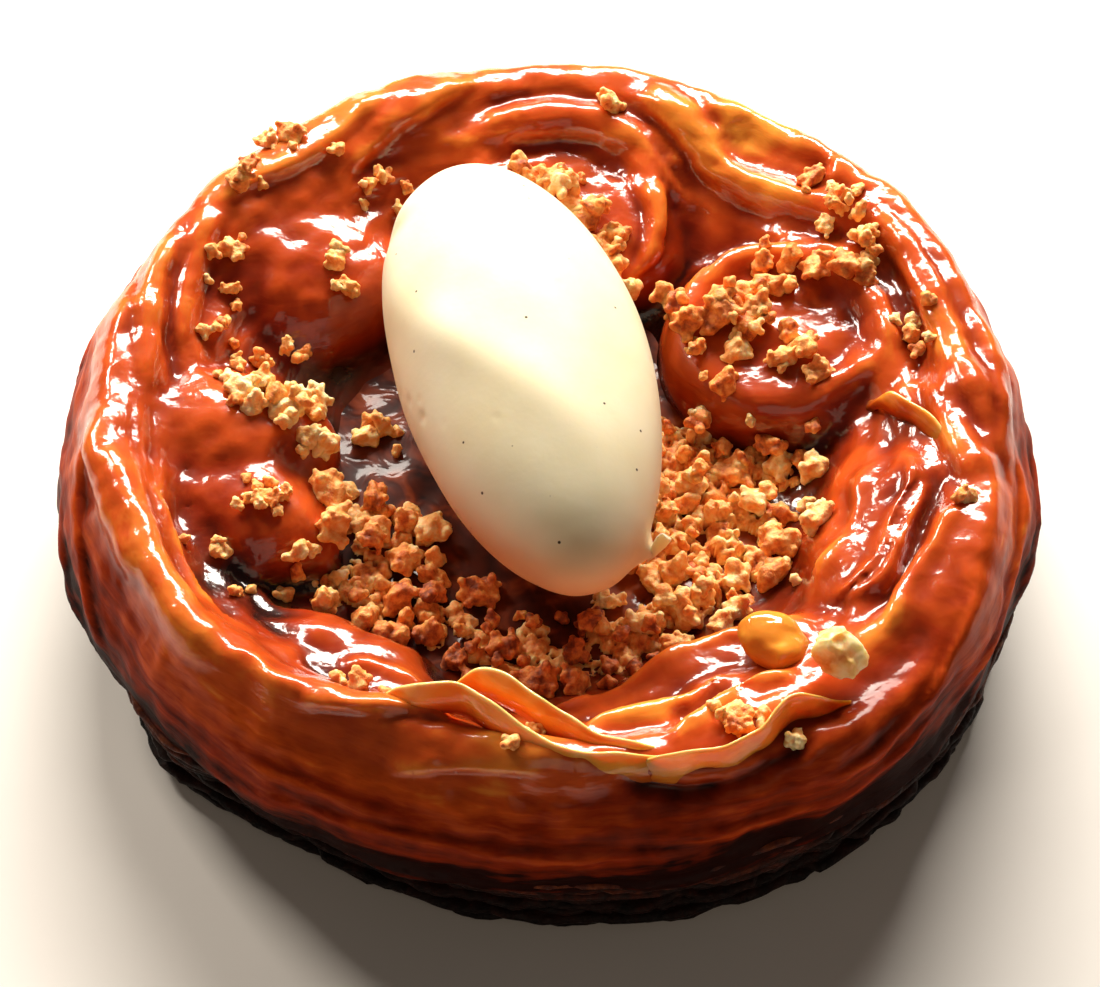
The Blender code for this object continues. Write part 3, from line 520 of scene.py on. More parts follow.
# Folds of the layers, as (kind, height, width, route of (degrees, radius, height)).
FOLDS = [
    # front left: the tops of slices at the crest and the pocket under them
    ("ledge", 1.2, 1.4, [(-122, 50.5, 26.2), (-116, 49.4, 26.8), (-109, 47.2, 26.8), (-103, 46.2, 25.6)]),
    ("ledge", 0.6, 1.1, [(-110, 53.2, 22.4), (-104, 52.2, 24.4), (-97, 51.6, 25.2), (-90, 51.6, 25.4)]),
    ("ridge", 0.8, 1.1, [(-126, 40.6, 21.0), (-117, 38.5, 22.0), (-109, 38.8, 22.6), (-104, 40.2, 24.0)]),
    ("ridge", -0.6, 1.2, [(-130, 43.0, 21.4), (-124, 42.6, 21.6), (-117, 41.8, 22.4)]),
    ("ledge", 0.35, 1.0, [(-104, 54.4, 19.8), (-111, 54.5, 19.6), (-117, 54.4, 19.4), (-126, 54.9, 18.4)]),
    # the wall, from the front round to the right
    ("ledge", 0.5, 1.3, [(-66, 56.5, 16.0), (-80, 56.2, 17.2), (-92, 55.6, 17.4), (-106, 55.4, 17.8),
                         (-118, 55.8, 16.8), (-130, 56.4, 14.8), (-142, 56.4, 13.0)]),
    ("ledge", 0.6, 1.3, [(-60, 56.6, 11.8), (-76, 56.4, 12.0), (-92, 56.0, 12.2), (-108, 56.0, 12.4),
                         (-124, 56.4, 11.0), (-138, 56.4, 9.8)]),
    ("ridge", -1.2, 1.2, [(-84, 52.6, 27.4), (-77, 53.4, 25.8), (-71, 54.2, 25.2), (-64, 54.4, 26.6),
                          (-58, 53.6, 27.4)]),
    ("ledge", 0.8, 1.2, [(-42, 56.8, 21.5), (-49, 57.1, 19.0), (-57, 57.3, 18.0), (-66, 56.6, 18.6),
                         (-76, 56.2, 19.5)]),
    ("ledge", 0.8, 1.2, [(-28, 56.4, 17.4), (-39, 56.7, 12.6), (-52, 57.0, 11.0), (-66, 57.0, 11.6)]),
    ("ledge", 0.8, 1.1, [(-30, 53.6, 27.0), (-38, 55.0, 26.6), (-48, 56.4, 24.8), (-60, 56.5, 23.3)]),
    ("ledge", 0.8, 1.2, [(-4, 54.0, 24.6), (-16, 55.2, 22.6), (-28, 56.2, 20.4), (-40, 57.0, 16.6)]),
    ("ledge", 0.7, 1.2, [(6, 55.8, 18.6), (-8, 56.2, 17.4), (-22, 56.6, 13.8)]),
    # the wall at the left, and round the back where the same layers go on
    ("ledge", 0.7, 1.3, [(-150, 56.2, 14.6), (-158, 55.4, 18.6), (-168, 54.0, 22.4), (-176, 52.4, 25.4)]),
    ("ledge", 0.6, 1.2, [(-146, 56.6, 10.4), (-160, 56.4, 13.6), (-174, 56.0, 17.4)]),
    ("ledge", 0.7, 1.3, [(172, 56.4, 14.0), (158, 56.0, 17.4), (144, 55.6, 19.6), (130, 55.8, 20.4)]),
    ("ledge", 0.8, 1.4, [(140, 56.6, 12.6), (124, 56.4, 13.8), (106, 56.2, 15.4), (90, 56.0, 16.2)]),
    ("ridge", -0.9, 1.3, [(112, 55.0, 22.4), (100, 54.8, 21.8), (88, 55.0, 20.6)]),
    ("ledge", 0.7, 1.3, [(84, 56.2, 19.8), (70, 56.2, 17.8), (56, 56.6, 17.0), (44, 56.4, 18.2)]),
    ("ledge", 0.7, 1.3, [(62, 56.8, 11.8), (44, 56.8, 12.8), (26, 56.8, 13.4), (10, 56.8, 12.4)]),
    # crest and pocket at the left
    ("ridge", 1.2, 2.2, [(179, 52.0, 26.6), (-171, 51.2, 27.0), (-164, 49.8, 27.9), (-156, 49.4, 27.6),
                         (-148, 50.0, 27.6), (-140, 51.2, 27.4), (-133, 51.6, 26.8)]),
    ("ridge", -1.0, 2.0, [(-168, 43.4, 24.8), (-158, 43.0, 23.6), (-148, 43.6, 23.0), (-139, 45.6, 23.4)]),
    ("ridge", 0.8, 1.1, [(-134, 50.6, 27.0), (-131, 48.6, 26.8), (-127, 49.4, 26.8), (-122, 49.0, 26.6)]),
    ("ridge", 0.7, 0.8, [(-166, 46.0, 26.2), (-156, 45.0, 25.0), (-146, 45.6, 23.6), (-138, 46.0, 22.0)]),
    # brims of the two cut halves
    ("band", 0.9, 2.4, [(3, 29.0, 25.0), (10, 35.2, 25.6), (14, 38.5, 26.0), (21, 41.2, 26.4), (31, 41.0, 26.8),
                        (38, 39.6, 26.8), (45, 37.4, 26.6), (49, 33.4, 26.2), (50, 27.8, 25.4), (46, 22.8, 24.4)]),
    ("band", 1.5, 2.3, [(108, 41.0, 26.2), (102, 43.1, 27.2), (96, 45.3, 27.8), (89, 46.2, 28.2), (81, 45.0, 28.2),
                        (73, 41.0, 27.6), (66, 34.8, 26.6), (60, 28.4, 25.2), (56, 23.2, 23.6)]),
    ("band", 0.9, 1.7, [(148, 51.6, 28.0), (155, 50.6, 28.4), (162, 49.0, 27.8), (170, 47.0, 26.6),
                        (178, 45.0, 25.2)]),
    ("band", 0.8, 1.5, [(142, 50.2, 27.2), (149, 48.6, 27.2), (156, 46.4, 26.4), (164, 44.6, 25.4),
                        (170, 41.6, 24.4)]),
    ("band", 0.6, 1.7, [(-176, 53.4, 26.2), (-168, 53.0, 26.8), (-158, 52.4, 26.6), (-149, 52.8, 26.0)]),
    # soft bands along the back left
    ("ledge", 1.3, 2.6, [(126, 42.8, 25.6), (121, 44.4, 26.6), (116, 46.0, 27.4), (110, 47.4, 28.0),
                         (105, 49.0, 28.6), (99, 51.4, 28.8)]),
    ("ledge", 1.3, 2.4, [(145, 50.2, 26.4), (138, 49.0, 26.8), (132, 47.7, 27.0), (126, 47.8, 27.2),
                         (119, 49.0, 27.8), (112, 51.2, 28.4)]),
    # the broad band that swings in at the back right, the bowl beside it and the thin slice before it
    ("band", 1.4, 2.2, [(80, 51.0, 28.6), (74, 49.8, 28.6), (69, 47.0, 28.0), (65, 44.6, 27.2),
                        (61, 43.0, 26.6), (56, 42.6, 26.6), (50, 43.2, 26.8), (43, 45.2, 27.2),
                        (36, 48.4, 27.6)]),
    ("ridge", -1.4, 2.6, [(64, 49.6, 27.8), (58, 48.4, 27.6), (52, 48.4, 27.6), (46, 49.6, 27.8)]),
    # the broad bands down the right
    ("band", 1.2, 2.1, [(40, 49.2, 28.0), (32, 48.4, 28.0), (24, 47.6, 27.8), (16, 47.2, 27.4),
                        (9, 47.0, 27.0), (2, 48.0, 26.6), (-5, 50.4, 26.2)]),
    ("band", 0.9, 1.8, [(44, 52.8, 28.0), (34, 52.6, 28.2), (24, 52.2, 28.0), (13, 52.2, 27.6),
                        (2, 53.0, 27.0), (-10, 54.0, 26.2)]),
    ("ridge", -1.2, 1.2, [(34, 44.2, 26.4), (24, 43.6, 26.4), (14, 43.2, 26.0), (4, 42.6, 25.2)]),
    ("band", 0.9, 1.7, [(6, 44.4, 26.2), (-2, 45.2, 26.4), (-9, 47.2, 26.4), (-15, 50.0, 26.2)]),
    # ridges down the slope at the front right
    ("ledge", 1.0, 1.1, [(-14, 44.0, 25.0), (-21, 42.8, 25.2), (-28, 42.8, 24.8), (-34, 43.2, 24.2), (-40, 42.0, 22.6)]),
    ("ridge", 1.3, 1.3, [(-6, 40.8, 23.4), (-15, 42.4, 24.6), (-23, 42.2, 24.6), (-30, 43.0, 23.8),
                         (-36, 42.6, 22.6), (-40, 40.0, 20.0)]),
    ("ridge", -1.2, 1.2, [(-12, 45.6, 25.4), (-22, 45.0, 24.6), (-31, 45.6, 23.6), (-40, 46.6, 23.4)]),
    ("ridge", 1.1, 1.1, [(-18, 48.4, 26.6), (-26, 47.8, 25.8), (-34, 47.4, 25.2), (-42, 48.8, 25.6)]),
    ("ridge", 0.8, 1.2, [(-10, 37.6, 21.0), (-20, 38.4, 21.6), (-30, 38.6, 21.0), (-38, 37.4, 19.6)]),
    # the folds at the front right: the brim of the pit, and the waves between it and the crest
    ("ridge", 0.9, 1.4, [(-92, 39.6, 16.4), (-84, 37.2, 19.4), (-77, 35.8, 21.0), (-70, 34.6, 21.5),
                         (-62, 33.9, 21.6), (-55, 34.4, 21.8), (-47, 37.0, 22.0)]),
    ("ridge", -0.9, 1.4, [(-88, 42.6, 20.0), (-79, 41.2, 21.0), (-70, 41.4, 21.8), (-62, 42.4, 22.6)]),
    ("ridge", 1.8, 1.3, [(-88, 46.8, 24.2), (-83, 44.4, 23.6), (-77, 43.4, 23.4), (-71, 42.6, 23.0),
                         (-65, 41.6, 22.6), (-60, 42.2, 23.2)]),
    ("ridge", 1.6, 1.2, [(-76, 48.6, 26.0), (-71, 46.6, 25.2), (-66, 45.0, 24.6), (-60, 44.2, 24.4),
                         (-54, 45.8, 25.4)]),
    ("ridge", -0.9, 1.1, [(-74, 45.4, 24.2), (-67, 43.6, 23.6), (-60, 43.4, 23.6)]),
]
# Painted light: paler where the flesh is so thin that light comes through it, and where a highlight falls: (degrees,
# radius, height, reach, how much paler).
PAINTED_LIGHT_AND_SHADE = [
    (-164, 45.2, 25.0, 2.6, 0.20), (-155, 44.8, 24.2, 2.2, 0.26), (-146, 46.0, 23.4, 2.2, 0.24),
    (-139, 47.0, 22.6, 2.2, 0.20), (-96, 51.0, 24.0, 6.0, 0.08), (-110, 51.0, 24.5, 5.0, 0.10),
    (-72, 43.3, 24.6, 4.5, 0.24), (-80, 43.0, 23.0, 5.0, 0.16), (-60, 47.0, 26.6, 5.0, 0.22),
    (61, 49.6, 26.4, 4.2, 0.6), (52, 43.0, 26.6, 4.0, 0.22), (70, 48.4, 28.3, 4.5, 0.2),
    (115, 51.4, 28.2, 5.0, 0.12), (126, 50.6, 27.4, 5.0, 0.10), (138, 48.0, 26.4, 5.0, 0.2),
    (104, 47.4, 27.6, 5.0, 0.2), (8, 46.0, 26.2, 4.0, 0.12),
    (-42, 48.0, 25.6, 4.5, 0.22), (-32, 44.0, 24.0, 3.0, 0.12), (-8, 44.6, 26.0, 3.0, 0.2),
    # and painted shade, darker, where it lies thick or deep in pockets and hollows and on the shaded wall
    (-148, 42.2, 20.0, 5.5, -0.36), (-162, 38.0, 22.0, 6.0, -0.16), (-137, 41.0, 19.0, 5.0, -0.2),
    (139, 41.0, 22.0, 8.0, -0.14), (150, 33.0, 21.0, 8.0, -0.16), (176, 30.0, 19.0, 6.0, -0.12),
    (10, 28.0, 20.0, 8.0, -0.08), (-123, 43.8, 22.0, 5.5, -0.20), (-157, 54.6, 23.0, 7.0, -0.12),
    (24, 48.0, 27.0, 5.0, -0.10),
    (-1, 50.0, 27.0, 6.0, -0.20), (-18, 42.4, 25.0, 5.0, -0.16), (-36, 44.0, 24.0, 5.5, -0.20), (61, 39.8, 24.0, 5.0, 0.10),
    (-94, 45.5, 26.0, 4.5, 0.14), (-61, 34.2, 22.0, 3.6, 0.24), (-50, 36.0, 22.0, 3.0, 0.14)]
for kind, height, width, route in FOLDS:
    points = folded(points, normals_of(points, faces), route, height * MM, width * MM, kind)

# At the front right the crest lies lower, so that the slices there hang over it.
radius = np.hypot(points[:, 0], points[:, 1])
degrees = np.degrees(np.arctan2(points[:, 1], points[:, 0]))
slumped = (smoothstep(47.5 * MM, 52.5 * MM, radius) * smoothstep(-92, -76, degrees) * smoothstep(-28, -44, degrees)
           * smoothstep(17 * MM, 25 * MM, points[:, 2]))
points[:, 2] -= 2.4 * MM * slumped

# Strata of the pressed slices along the wall, wrinkles on top, both long round the tart and short across.
radius = np.hypot(points[:, 0], points[:, 1])
normals = normals_of(points, faces)
outer = smoothstep(50 * MM, 55 * MM, radius)
leaning = points[:, 2] + 0.55 * (radius - RIM_RADIUS)
along_wall = np.column_stack([points[:, :2] / 13, points[:, 2] / 1.7])
along_slope = np.column_stack([points[:, :2] / 9, leaning / 1.8])
strata = lumps(along_wall, MM, 2.0) * outer * 0.26 + lumps(along_slope, MM, 5.0) * (1 - outer) * 0.34
ring_only = smoothstep(34 * MM, 40 * MM, radius)
sag = lumps(points, 5.5 * MM, 8.0) * 0.36 + lumps(points, 2.4 * MM, 1.0) * 0.22
points = points + normals * ((strata * ring_only + sag * smoothstep(24 * MM, 32 * MM, radius)) * MM)[:, None]
points = relaxed(points, edges, 1, 0.4)

# Everything stays on the pastry and inside the tart's own outline.
points = np.clip(points, np.array(cad_box[0]) + 0.05 * MM, np.array(cad_box[1]) - 0.05 * MM)
points[:, 2] = np.maximum(points[:, 2], BED_BOTTOM)


def crease_shade_and_edge_glow(points, edges, faces):
    """Darker in creases, where caramel gathers and as their painted shade; paler on edges and thin folds, as a
    painted glow of light through them.
    """
    normals = normals_of(points, faces)
    fine = ((relaxed(points, edges, 12) - points) * normals).sum(axis=1) / MM
    broad = ((relaxed(points, edges, 70) - points) * normals).sum(axis=1) / MM
    return 0.5 * np.clip(fine, -0.2, 0.3) + 0.22 * np.clip(broad, -0.5, 0.6)


radius = np.hypot(points[:, 0], points[:, 1])
degrees = np.degrees(np.arctan2(points[:, 1], points[:, 0]))
height = points[:, 2] / MM
outer = smoothstep(49 * MM, 54 * MM, radius)
# The tone of the caramel, with painted light in it: shade in creases, pockets, the pit and down the wall, and a glow
# on thin edges.
caramel_and_painted_light = 0.44 + crease_shade_and_edge_glow(points, edges, faces) + 0.08 * lumps(points, 12 * MM, 6.0)
# Darker down the wall, partly the deeper bake and partly painted shade, and a little paler at mid height at the front
# as a painted glow.
baked_and_shaded_down_wall = np.interp(height, (5, 10, 14, 19, 24, 27), (0.98, 0.86, 0.58, 0.22, -0.04, -0.02))
caramel_and_painted_light += outer * (baked_and_shaded_down_wall - 0.08 * np.exp(-(((degrees + 98) / 34) ** 2)) * smoothstep(13, 21, height))
# Painted shade on the slumped crest at the front right.
caramel_and_painted_light += 0.26 * slumped
# Painted shade on the wall at the right.
caramel_and_painted_light += outer * 0.06 * smoothstep(-75, -40, degrees) * smoothstep(40, 0, degrees)
# Darker low inside the bed, where caramel pools and as painted shade.
caramel_and_painted_light += (1 - outer) * 0.34 * smoothstep(23, 15, height)
for bearing, out, up, reach, amount in PAINTED_LIGHT_AND_SHADE:
    apart = np.linalg.norm(points - np.array(polar(bearing, out, up)), axis=1) / MM
    caramel_and_painted_light -= amount * np.exp(-((apart / reach) ** 2))
wet = 1.0 - outer * smoothstep(27, 21, height) * 0.95
wet *= 1 - 0.5 * outer * smoothstep(-178, -164, degrees) * smoothstep(-124, -140, degrees)
wet *= 1 - 0.6 * outer * smoothstep(-90, -60, degrees) * smoothstep(10, -20, degrees)

hidden = (points[faces].mean(axis=1)[:, 2] < BED_BOTTOM + 0.3 * MM) & (radius[faces].max(axis=1) < 50 * MM)
kept = faces[~hidden]
used, renumbered = np.unique(kept, return_inverse=True)
bed = new_piece("caramelised_apple_bed", points[used], renumbered.reshape(-1, 4), bed_glaze)
paint(bed, "caramel_and_painted_light", caramel_and_painted_light[used])
paint(bed, "wet", wet[used])
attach(bed, "root")
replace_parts(bed, "apple_ring", *HALVES)


# ---------------------------------------------------------------------------------------------------------
# Slices: thin apple slices, see-through and limp from the caramel, draped along the rim and down to the
# pit. One edge of each is sunk in the bed and the other stands free, thin and painted bright, as a glow and
# highlight. Those along the back, the left and the edge of the pit have sunk in whole, and are bands of the
# bed's own skin.
# Free edge as (degrees, radius, height), then how far the sunk edge lies outwards and below it, in mm, the
# thickness in mm, and how much darker the slice is than the palest.
SLICES = {
    "slice_front_lip": ([(-117, 46.6, 26.2), (-113, 45.6, 27.8), (-108, 44.4, 29.4), (-103, 44.0, 29.9),
                         (-98, 45.2, 29.5), (-93, 47.4, 28.5), (-89, 49.2, 27.7), (-84, 50.2, 27.2),
                         (-78, 50.4, 27.2), (-73, 50.6, 27.4)], (1.1, 3.8), 0.75, -0.03),
    "slice_front_inner": ([(-107, 42.6, 26.2), (-103, 41.2, 28.2), (-98, 41.0, 28.8), (-93, 42.8, 28.6),
                           (-88, 45.4, 27.8), (-84, 47.6, 27.2), (-80, 48.8, 26.7), (-76, 49.4, 26.2),
                           (-72, 49.8, 25.4)], (1.4, 3.6), 0.75, 0.0),
    "slice_front_right": ([(-84, 49.8, 25.2), (-78, 50.8, 26.4), (-73, 51.7, 27.1), (-69, 52.2, 27.2), (-65, 52.0, 27.4),
                           (-62, 50.8, 27.8), (-59, 49.9, 28.0), (-56, 51.0, 27.9), (-52, 52.4, 26.8)],
                          (0.3, 5.0), 0.75, 0.08),
    "slice_right": ([(6, 37.6, 24.4), (3, 38.9, 26.0), (0, 40.6, 26.7), (-3, 42.7, 27.0), (-7, 45.0, 26.8),
                     (-9, 47.2, 26.2), (-12, 49.0, 25.4)], (-0.9, 3.0), 0.8, 0.2),
}
SHEET_STEP = 0.45 * MM
# Its palest colour is the painted glow and highlight of the free edges.
slice_glaze = glazed_apple("thin_apple_slice_candied", "#FAD68A", "#E99A34", "#B44E10", "#4A1606", coat=0.06)


def slice_sheet(name, free_edge, hang, thickness, tone):
    """A wavy sheet from its free edge down to its sunk edge, thin above and thicker below."""
    top = spline([polar(*point) for point in free_edge], SHEET_STEP)
    count = len(top)
    outward = top * np.array((1, 1, 0)) / np.hypot(top[:, 0], top[:, 1])[:, None]
    share = np.linspace(0, 1, count)
    body = smoothstep(0, 0.22, share) * smoothstep(0, 0.22, 1 - share)
    top = top - np.array((0, 0, 2.6 * MM)) * (1 - body)[:, None]
    top = top + outward * (lumps(top, 4.5 * MM, 2.5) * 0.55 * MM)[:, None]
    top[:, 2] += lumps(top, 3.2 * MM, 6.5) * 0.35 * MM
    down = (outward * hang[0] - np.array((0, 0, hang[1]))) * MM
    along = np.gradient(top, axis=0)
    along /= np.linalg.norm(along, axis=1, keepdims=True)
    face_out = np.cross(down, along)
    face_out /= np.linalg.norm(face_out, axis=1, keepdims=True)
    columns = 10
    across = np.concatenate([np.linspace(1, 0, columns) ** 1.5, (np.linspace(0, 1, columns) ** 1.5)[1:]])
    side = np.concatenate([np.full(columns - 1, 1.0), [0.0], np.full(columns - 1, -1.0)])
    rows = []
    for v, which in zip(across, side):
        swollen = thickness * MM * (0.3 + 0.7 * math.sqrt(v)) / 2 * which
        place = top + down * v
        belly = lumps(place, 3.4 * MM, 4.0) * 0.4 * MM * min(1, 2 * v) + 0.4 * MM * math.sin(math.pi * v)
        rows.append(place + face_out * (belly + swollen * (0.3 + 0.7 * body))[:, None])
    grid = np.stack(rows, axis=1)
    per_row = grid.shape[1]
    faces = closed_grid(count, per_row)
    caps = [list(range(per_row))[::-1], [(count - 1) * per_row + i for i in range(per_row)]]
    sheet = new_piece(name, grid.reshape(-1, 3), faces.tolist() + caps, slice_glaze)
    depth = np.broadcast_to(across, (count, per_row))
    # Painted glow and highlight along the free edge; darker towards the sunk edge and ends, which lie in caramel.
    paint(sheet, "caramel_and_painted_light", tone + 0.28 * smoothstep(0.0, 0.14, depth) + 0.28 * smoothstep(0.3, 0.9, depth)
          + 0.35 * (1 - body)[:, None] + 0.12 * lumps(grid, 5 * MM, 1.5))
    paint(sheet, "wet", np.full(grid.shape[:2], 0.9))
    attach(sheet, "root")
    return sheet


for name, shape in SLICES.items():
    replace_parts(slice_sheet("sheet_" + name, *shape), name)
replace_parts(bed, "slice_back_left", "slice_back_swoosh", "slice_right_back", "slice_left_inner", "slice_pit_front",
            "slice_right_inner")


# ---------------------------------------------------------------------------------------------------------
# Caramel pool: butter caramel that ran into the pit and set almost black, with a wrinkled skin where it
# meets the apple.
pool_low, pool_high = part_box("caramel_pool")
CARAMEL_LEVEL = 14.3 * MM
POOL_RADIUS = 36.0 * MM
pool_caramel, tree = new_material("set_butter_caramel_dark")
place = add(tree, "ShaderNodeTexCoord")
skin_folds = add(tree, "ShaderNodeTexNoise", {"Vector": place.outputs["Object"], "Scale": 1 / (4.0 * MM),
                                              "Detail": 2.0, "Distortion": 0.8})
aside = add(tree, "ShaderNodeSeparateXYZ", {"Vector": place.outputs["Object"]})
thinner = add(tree, "ShaderNodeMapRange", {"Value": aside.outputs["X"], "From Min": 4 * MM, "From Max": 30 * MM,
                                           "To Min": 0.0, "To Max": 0.3})
thin_skin = add(tree, "ShaderNodeMath", {0: skin_folds.outputs["Fac"], 1: thinner.outputs["Result"]},
                operation="ADD")
burnt = add(tree, "ShaderNodeValToRGB", {"Fac": thin_skin.outputs["Value"]},
            stops=[(0.3, "#200A06"), (0.52, "#4E1C0D"), (0.72, "#8A3A16"), (0.95, "#B4602A")])
skin_relief = add(tree, "ShaderNodeBump", {"Height": skin_folds.outputs["Fac"], "Distance": 0.5 * MM,
                                           "Strength": 0.5})
shader = add(tree, "ShaderNodeBsdfPrincipled", {
    "Base Color": burnt.outputs["Color"], "Roughness": 0.5, "IOR": 1.45, "Specular IOR Level": 0.12,
    "Coat Weight": 0.22, "Coat Roughness": 0.07, "Normal": skin_relief.outputs["Normal"],
    "Coat Normal": skin_relief.outputs["Normal"]})
add(tree, "ShaderNodeOutputMaterial", {"Surface": shader.outputs["BSDF"]})
pool_radii = np.linspace(0.3 * MM, POOL_RADIUS, 72)
pool_grid = np.stack([np.outer(pool_radii, np.cos(spokes)), np.outer(pool_radii, np.sin(spokes)),
                      np.full((len(pool_radii), BED_STEPS), CARAMEL_LEVEL)], axis=-1)
edge_skin = smoothstep(18 * MM, 30 * MM, pool_radii)[:, None]
pool_grid[..., 2] += lumps(pool_grid, 4.2 * MM, 3.0) * (0.35 + 0.45 * edge_skin) * MM
pool = new_piece("set_caramel_pool", pool_grid.reshape(-1, 3),
                 closed_grid(len(pool_radii), BED_STEPS).tolist() + [list(range(BED_STEPS))[::-1]], pool_caramel)
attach(pool, "root")
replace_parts(pool, "caramel_pool")


# ---------------------------------------------------------------------------------------------------------
# Crumble: butter, flour and brown sugar rubbed into crumbs and baked. Each crumb is a craggy cluster of
# small granules stuck together; they are dropped one by one, so that each rests on what lies below it.
CRUMB_GRAIN = 0.27 * MM
dice = random.Random(7)

# Crumble crumbs: rough, matt and sandy, golden where they caught the heat, with paler sugar here and there.
# Their tone number also holds painted light: shade painted brown in their folds and between granules, and
# paler crumbs where light falls. Granules are 1.3 mm and the sand on them 0.4 mm.
crumb_bake, tree = new_material("baked_butter_crumble")
place = add(tree, "ShaderNodeTexCoord")
tone = add(tree, "ShaderNodeAttribute", attribute_name="tone")
granules = add(tree, "ShaderNodeTexNoise", {"Vector": place.outputs["Object"], "Scale": 1 / (1.6 * MM),
                                            "Detail": 3.0, "Roughness": 0.6})
sand = add(tree, "ShaderNodeTexNoise", {"Vector": place.outputs["Object"], "Scale": 1 / (0.4 * MM),
                                        "Detail": 2.0})
uneven_bake = add(tree, "ShaderNodeMath", {0: granules.outputs["Fac"], 1: 1.6, 2: -0.3}, operation="MULTIPLY_ADD")
mixed = add(tree, "ShaderNodeMath", {0: tone.outputs["Fac"], 1: uneven_bake.outputs["Value"]}, operation="ADD")
golden = add(tree, "ShaderNodeValToRGB", {"Fac": mixed.outputs["Value"]},
             stops=[(0.15, "#8A3C18"), (0.38, "#D4702E"), (0.60, "#F09C4C"), (0.82, "#F9C074"), (1.0, "#FEDCA0")])
rough_sand = add(tree, "ShaderNodeBump", {"Height": sand.outputs["Fac"], "Distance": 0.2 * MM, "Strength": 0.9})
shader = add(tree, "ShaderNodeBsdfPrincipled", {
    "Base Color": golden.outputs["Color"], "Roughness": 0.6, "IOR": 1.45,
    "Subsurface Weight": 0.4, "Subsurface Radius": (1.0, 0.5, 0.2), "Subsurface Scale": 1.0 * MM,
    "Normal": rough_sand.outputs["Normal"]})
add(tree, "ShaderNodeOutputMaterial", {"Surface": shader.outputs["BSDF"]})


def crumb_cluster(granule_count, granule, closeness=0.68):
    """One crumb about its middle: points, faces, creases and radius. Each granule sticks to an earlier one."""
    middles, sizes = [np.zeros(3)], [granule * 1.25]
    while len(middles) < granule_count:
        host = int(len(middles) * dice.random() ** 1.5)
        way = np.array([dice.gauss(0, 1.3), dice.gauss(0, 1), dice.gauss(0, 0.75)])
        size = granule * dice.uniform(0.7, 1.35)
        middles.append(middles[host] + way / np.linalg.norm(way) * (sizes[host] + size) * closeness)
        sizes.append(size)
    middles = np.array(middles) - np.mean(middles, axis=0)
    shapes = [ball(middle, [size * dice.uniform(0.8, 1.2) for _ in range(3)], fineness=2)
              for middle, size in zip(middles, sizes)]
    points, edges, faces = arrays_of(merged("crumb", shapes, CRUMB_GRAIN))
    points = points + normals_of(points, faces) * (lumps(points, 0.5 * MM, 3.0) * 0.06 * MM)[:, None]
    crease = ((relaxed(points, edges, 4) - points) * normals_of(points, faces)).sum(axis=1) / MM
    radius = float(np.percentile(np.hypot(points[:, 0], points[:, 1]), 85))
    return points, faces, crease, radius


big_crumbs = [crumb_cluster(dice.randint(110, 300), dice.uniform(0.36, 0.44)) for _ in range(12)]
small_crumbs = [crumb_cluster(dice.randint(9, 34), dice.uniform(0.33, 0.43), 0.56) for _ in range(8)]

# The height of what lies below, on a fine grid, so that crumbs can be dropped on it.
FIELD_STEP = 0.5 * MM
FIELD_HALF = 120
below = BVHTree.FromPolygons(points[used].tolist(), renumbered.reshape(-1, 4).tolist())
field = np.full((2 * FIELD_HALF + 1, 2 * FIELD_HALF + 1), CARAMEL_LEVEL)
for column in range(2 * FIELD_HALF + 1):
    for row in range(2 * FIELD_HALF + 1):
        x, y = (column - FIELD_HALF) * FIELD_STEP, (row - FIELD_HALF) * FIELD_STEP
        found = below.ray_cast(Vector((x, y, 0.06)), Vector((0, 0, -1)))[0]
        if found is not None:
            field[column, row] = max(found.z, CARAMEL_LEVEL)


def dropped(x, y, radius, sink):
    """Height at which the middle of a crumb of that radius comes to rest, and raises the field there."""
    reach = int(radius / FIELD_STEP) + 1
    i, j = int(round(x / FIELD_STEP)) + FIELD_HALF, int(round(y / FIELD_STEP)) + FIELD_HALF
    di, dj = np.meshgrid(np.arange(-reach, reach + 1), np.arange(-reach, reach + 1), indexing="ij")
    apart = np.hypot(di, dj) * FIELD_STEP
    inside = apart < radius
    bulge = np.sqrt(np.maximum(radius**2 - apart**2, 0)) * 0.75
    patch = field[i - reach : i + reach + 1, j - reach : j + reach + 1]
    height = float(np.percentile((patch + bulge)[inside], 80)) - sink * radius
    patch[inside] = np.maximum(patch[inside], height + bulge[inside] * 0.8)
    return height


def crumbs_piece(name, placed, material, under=((), (), ())):
    """Joins crumbs, each as (prototype, place, size, tone), into one piece with what lies under them."""
    points, faces, tones = [[part] if len(part) else [] for part in under]
    count = len(under[0])
    for (some_points, some_faces, crease, _), where, size, tone in placed:
        turn = np.array(Euler([dice.uniform(-0.5, 0.5), dice.uniform(-0.5, 0.5), dice.uniform(0, 6.28)]).to_matrix())
        points.append(some_points @ turn.T * size + np.array(where))
        faces.append(some_faces + count)
        # Painted shade: darker in each crumb's folds, paler on its bumps.
        tones.append(tone - 0.8 * np.clip(crease, -0.12, 0.3))
        count += len(some_points)
    piece = new_piece(name, np.concatenate(points), np.concatenate(faces).tolist(), material)
    paint(piece, "tone", np.concatenate(tones))
    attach(piece, "root")
    return piece


def crumb_at(x, y, size, whole=True, sink=0.35, pale=0.0):
    """One crumb of that size dropped at x, y in mm."""
    shape = dice.choice(big_crumbs if whole else small_crumbs)
    height = dropped(x * MM, y * MM, shape[3] * size, sink)
    return shape, (x * MM, y * MM, height), size, dice.uniform(-0.16, 0.2) + pale


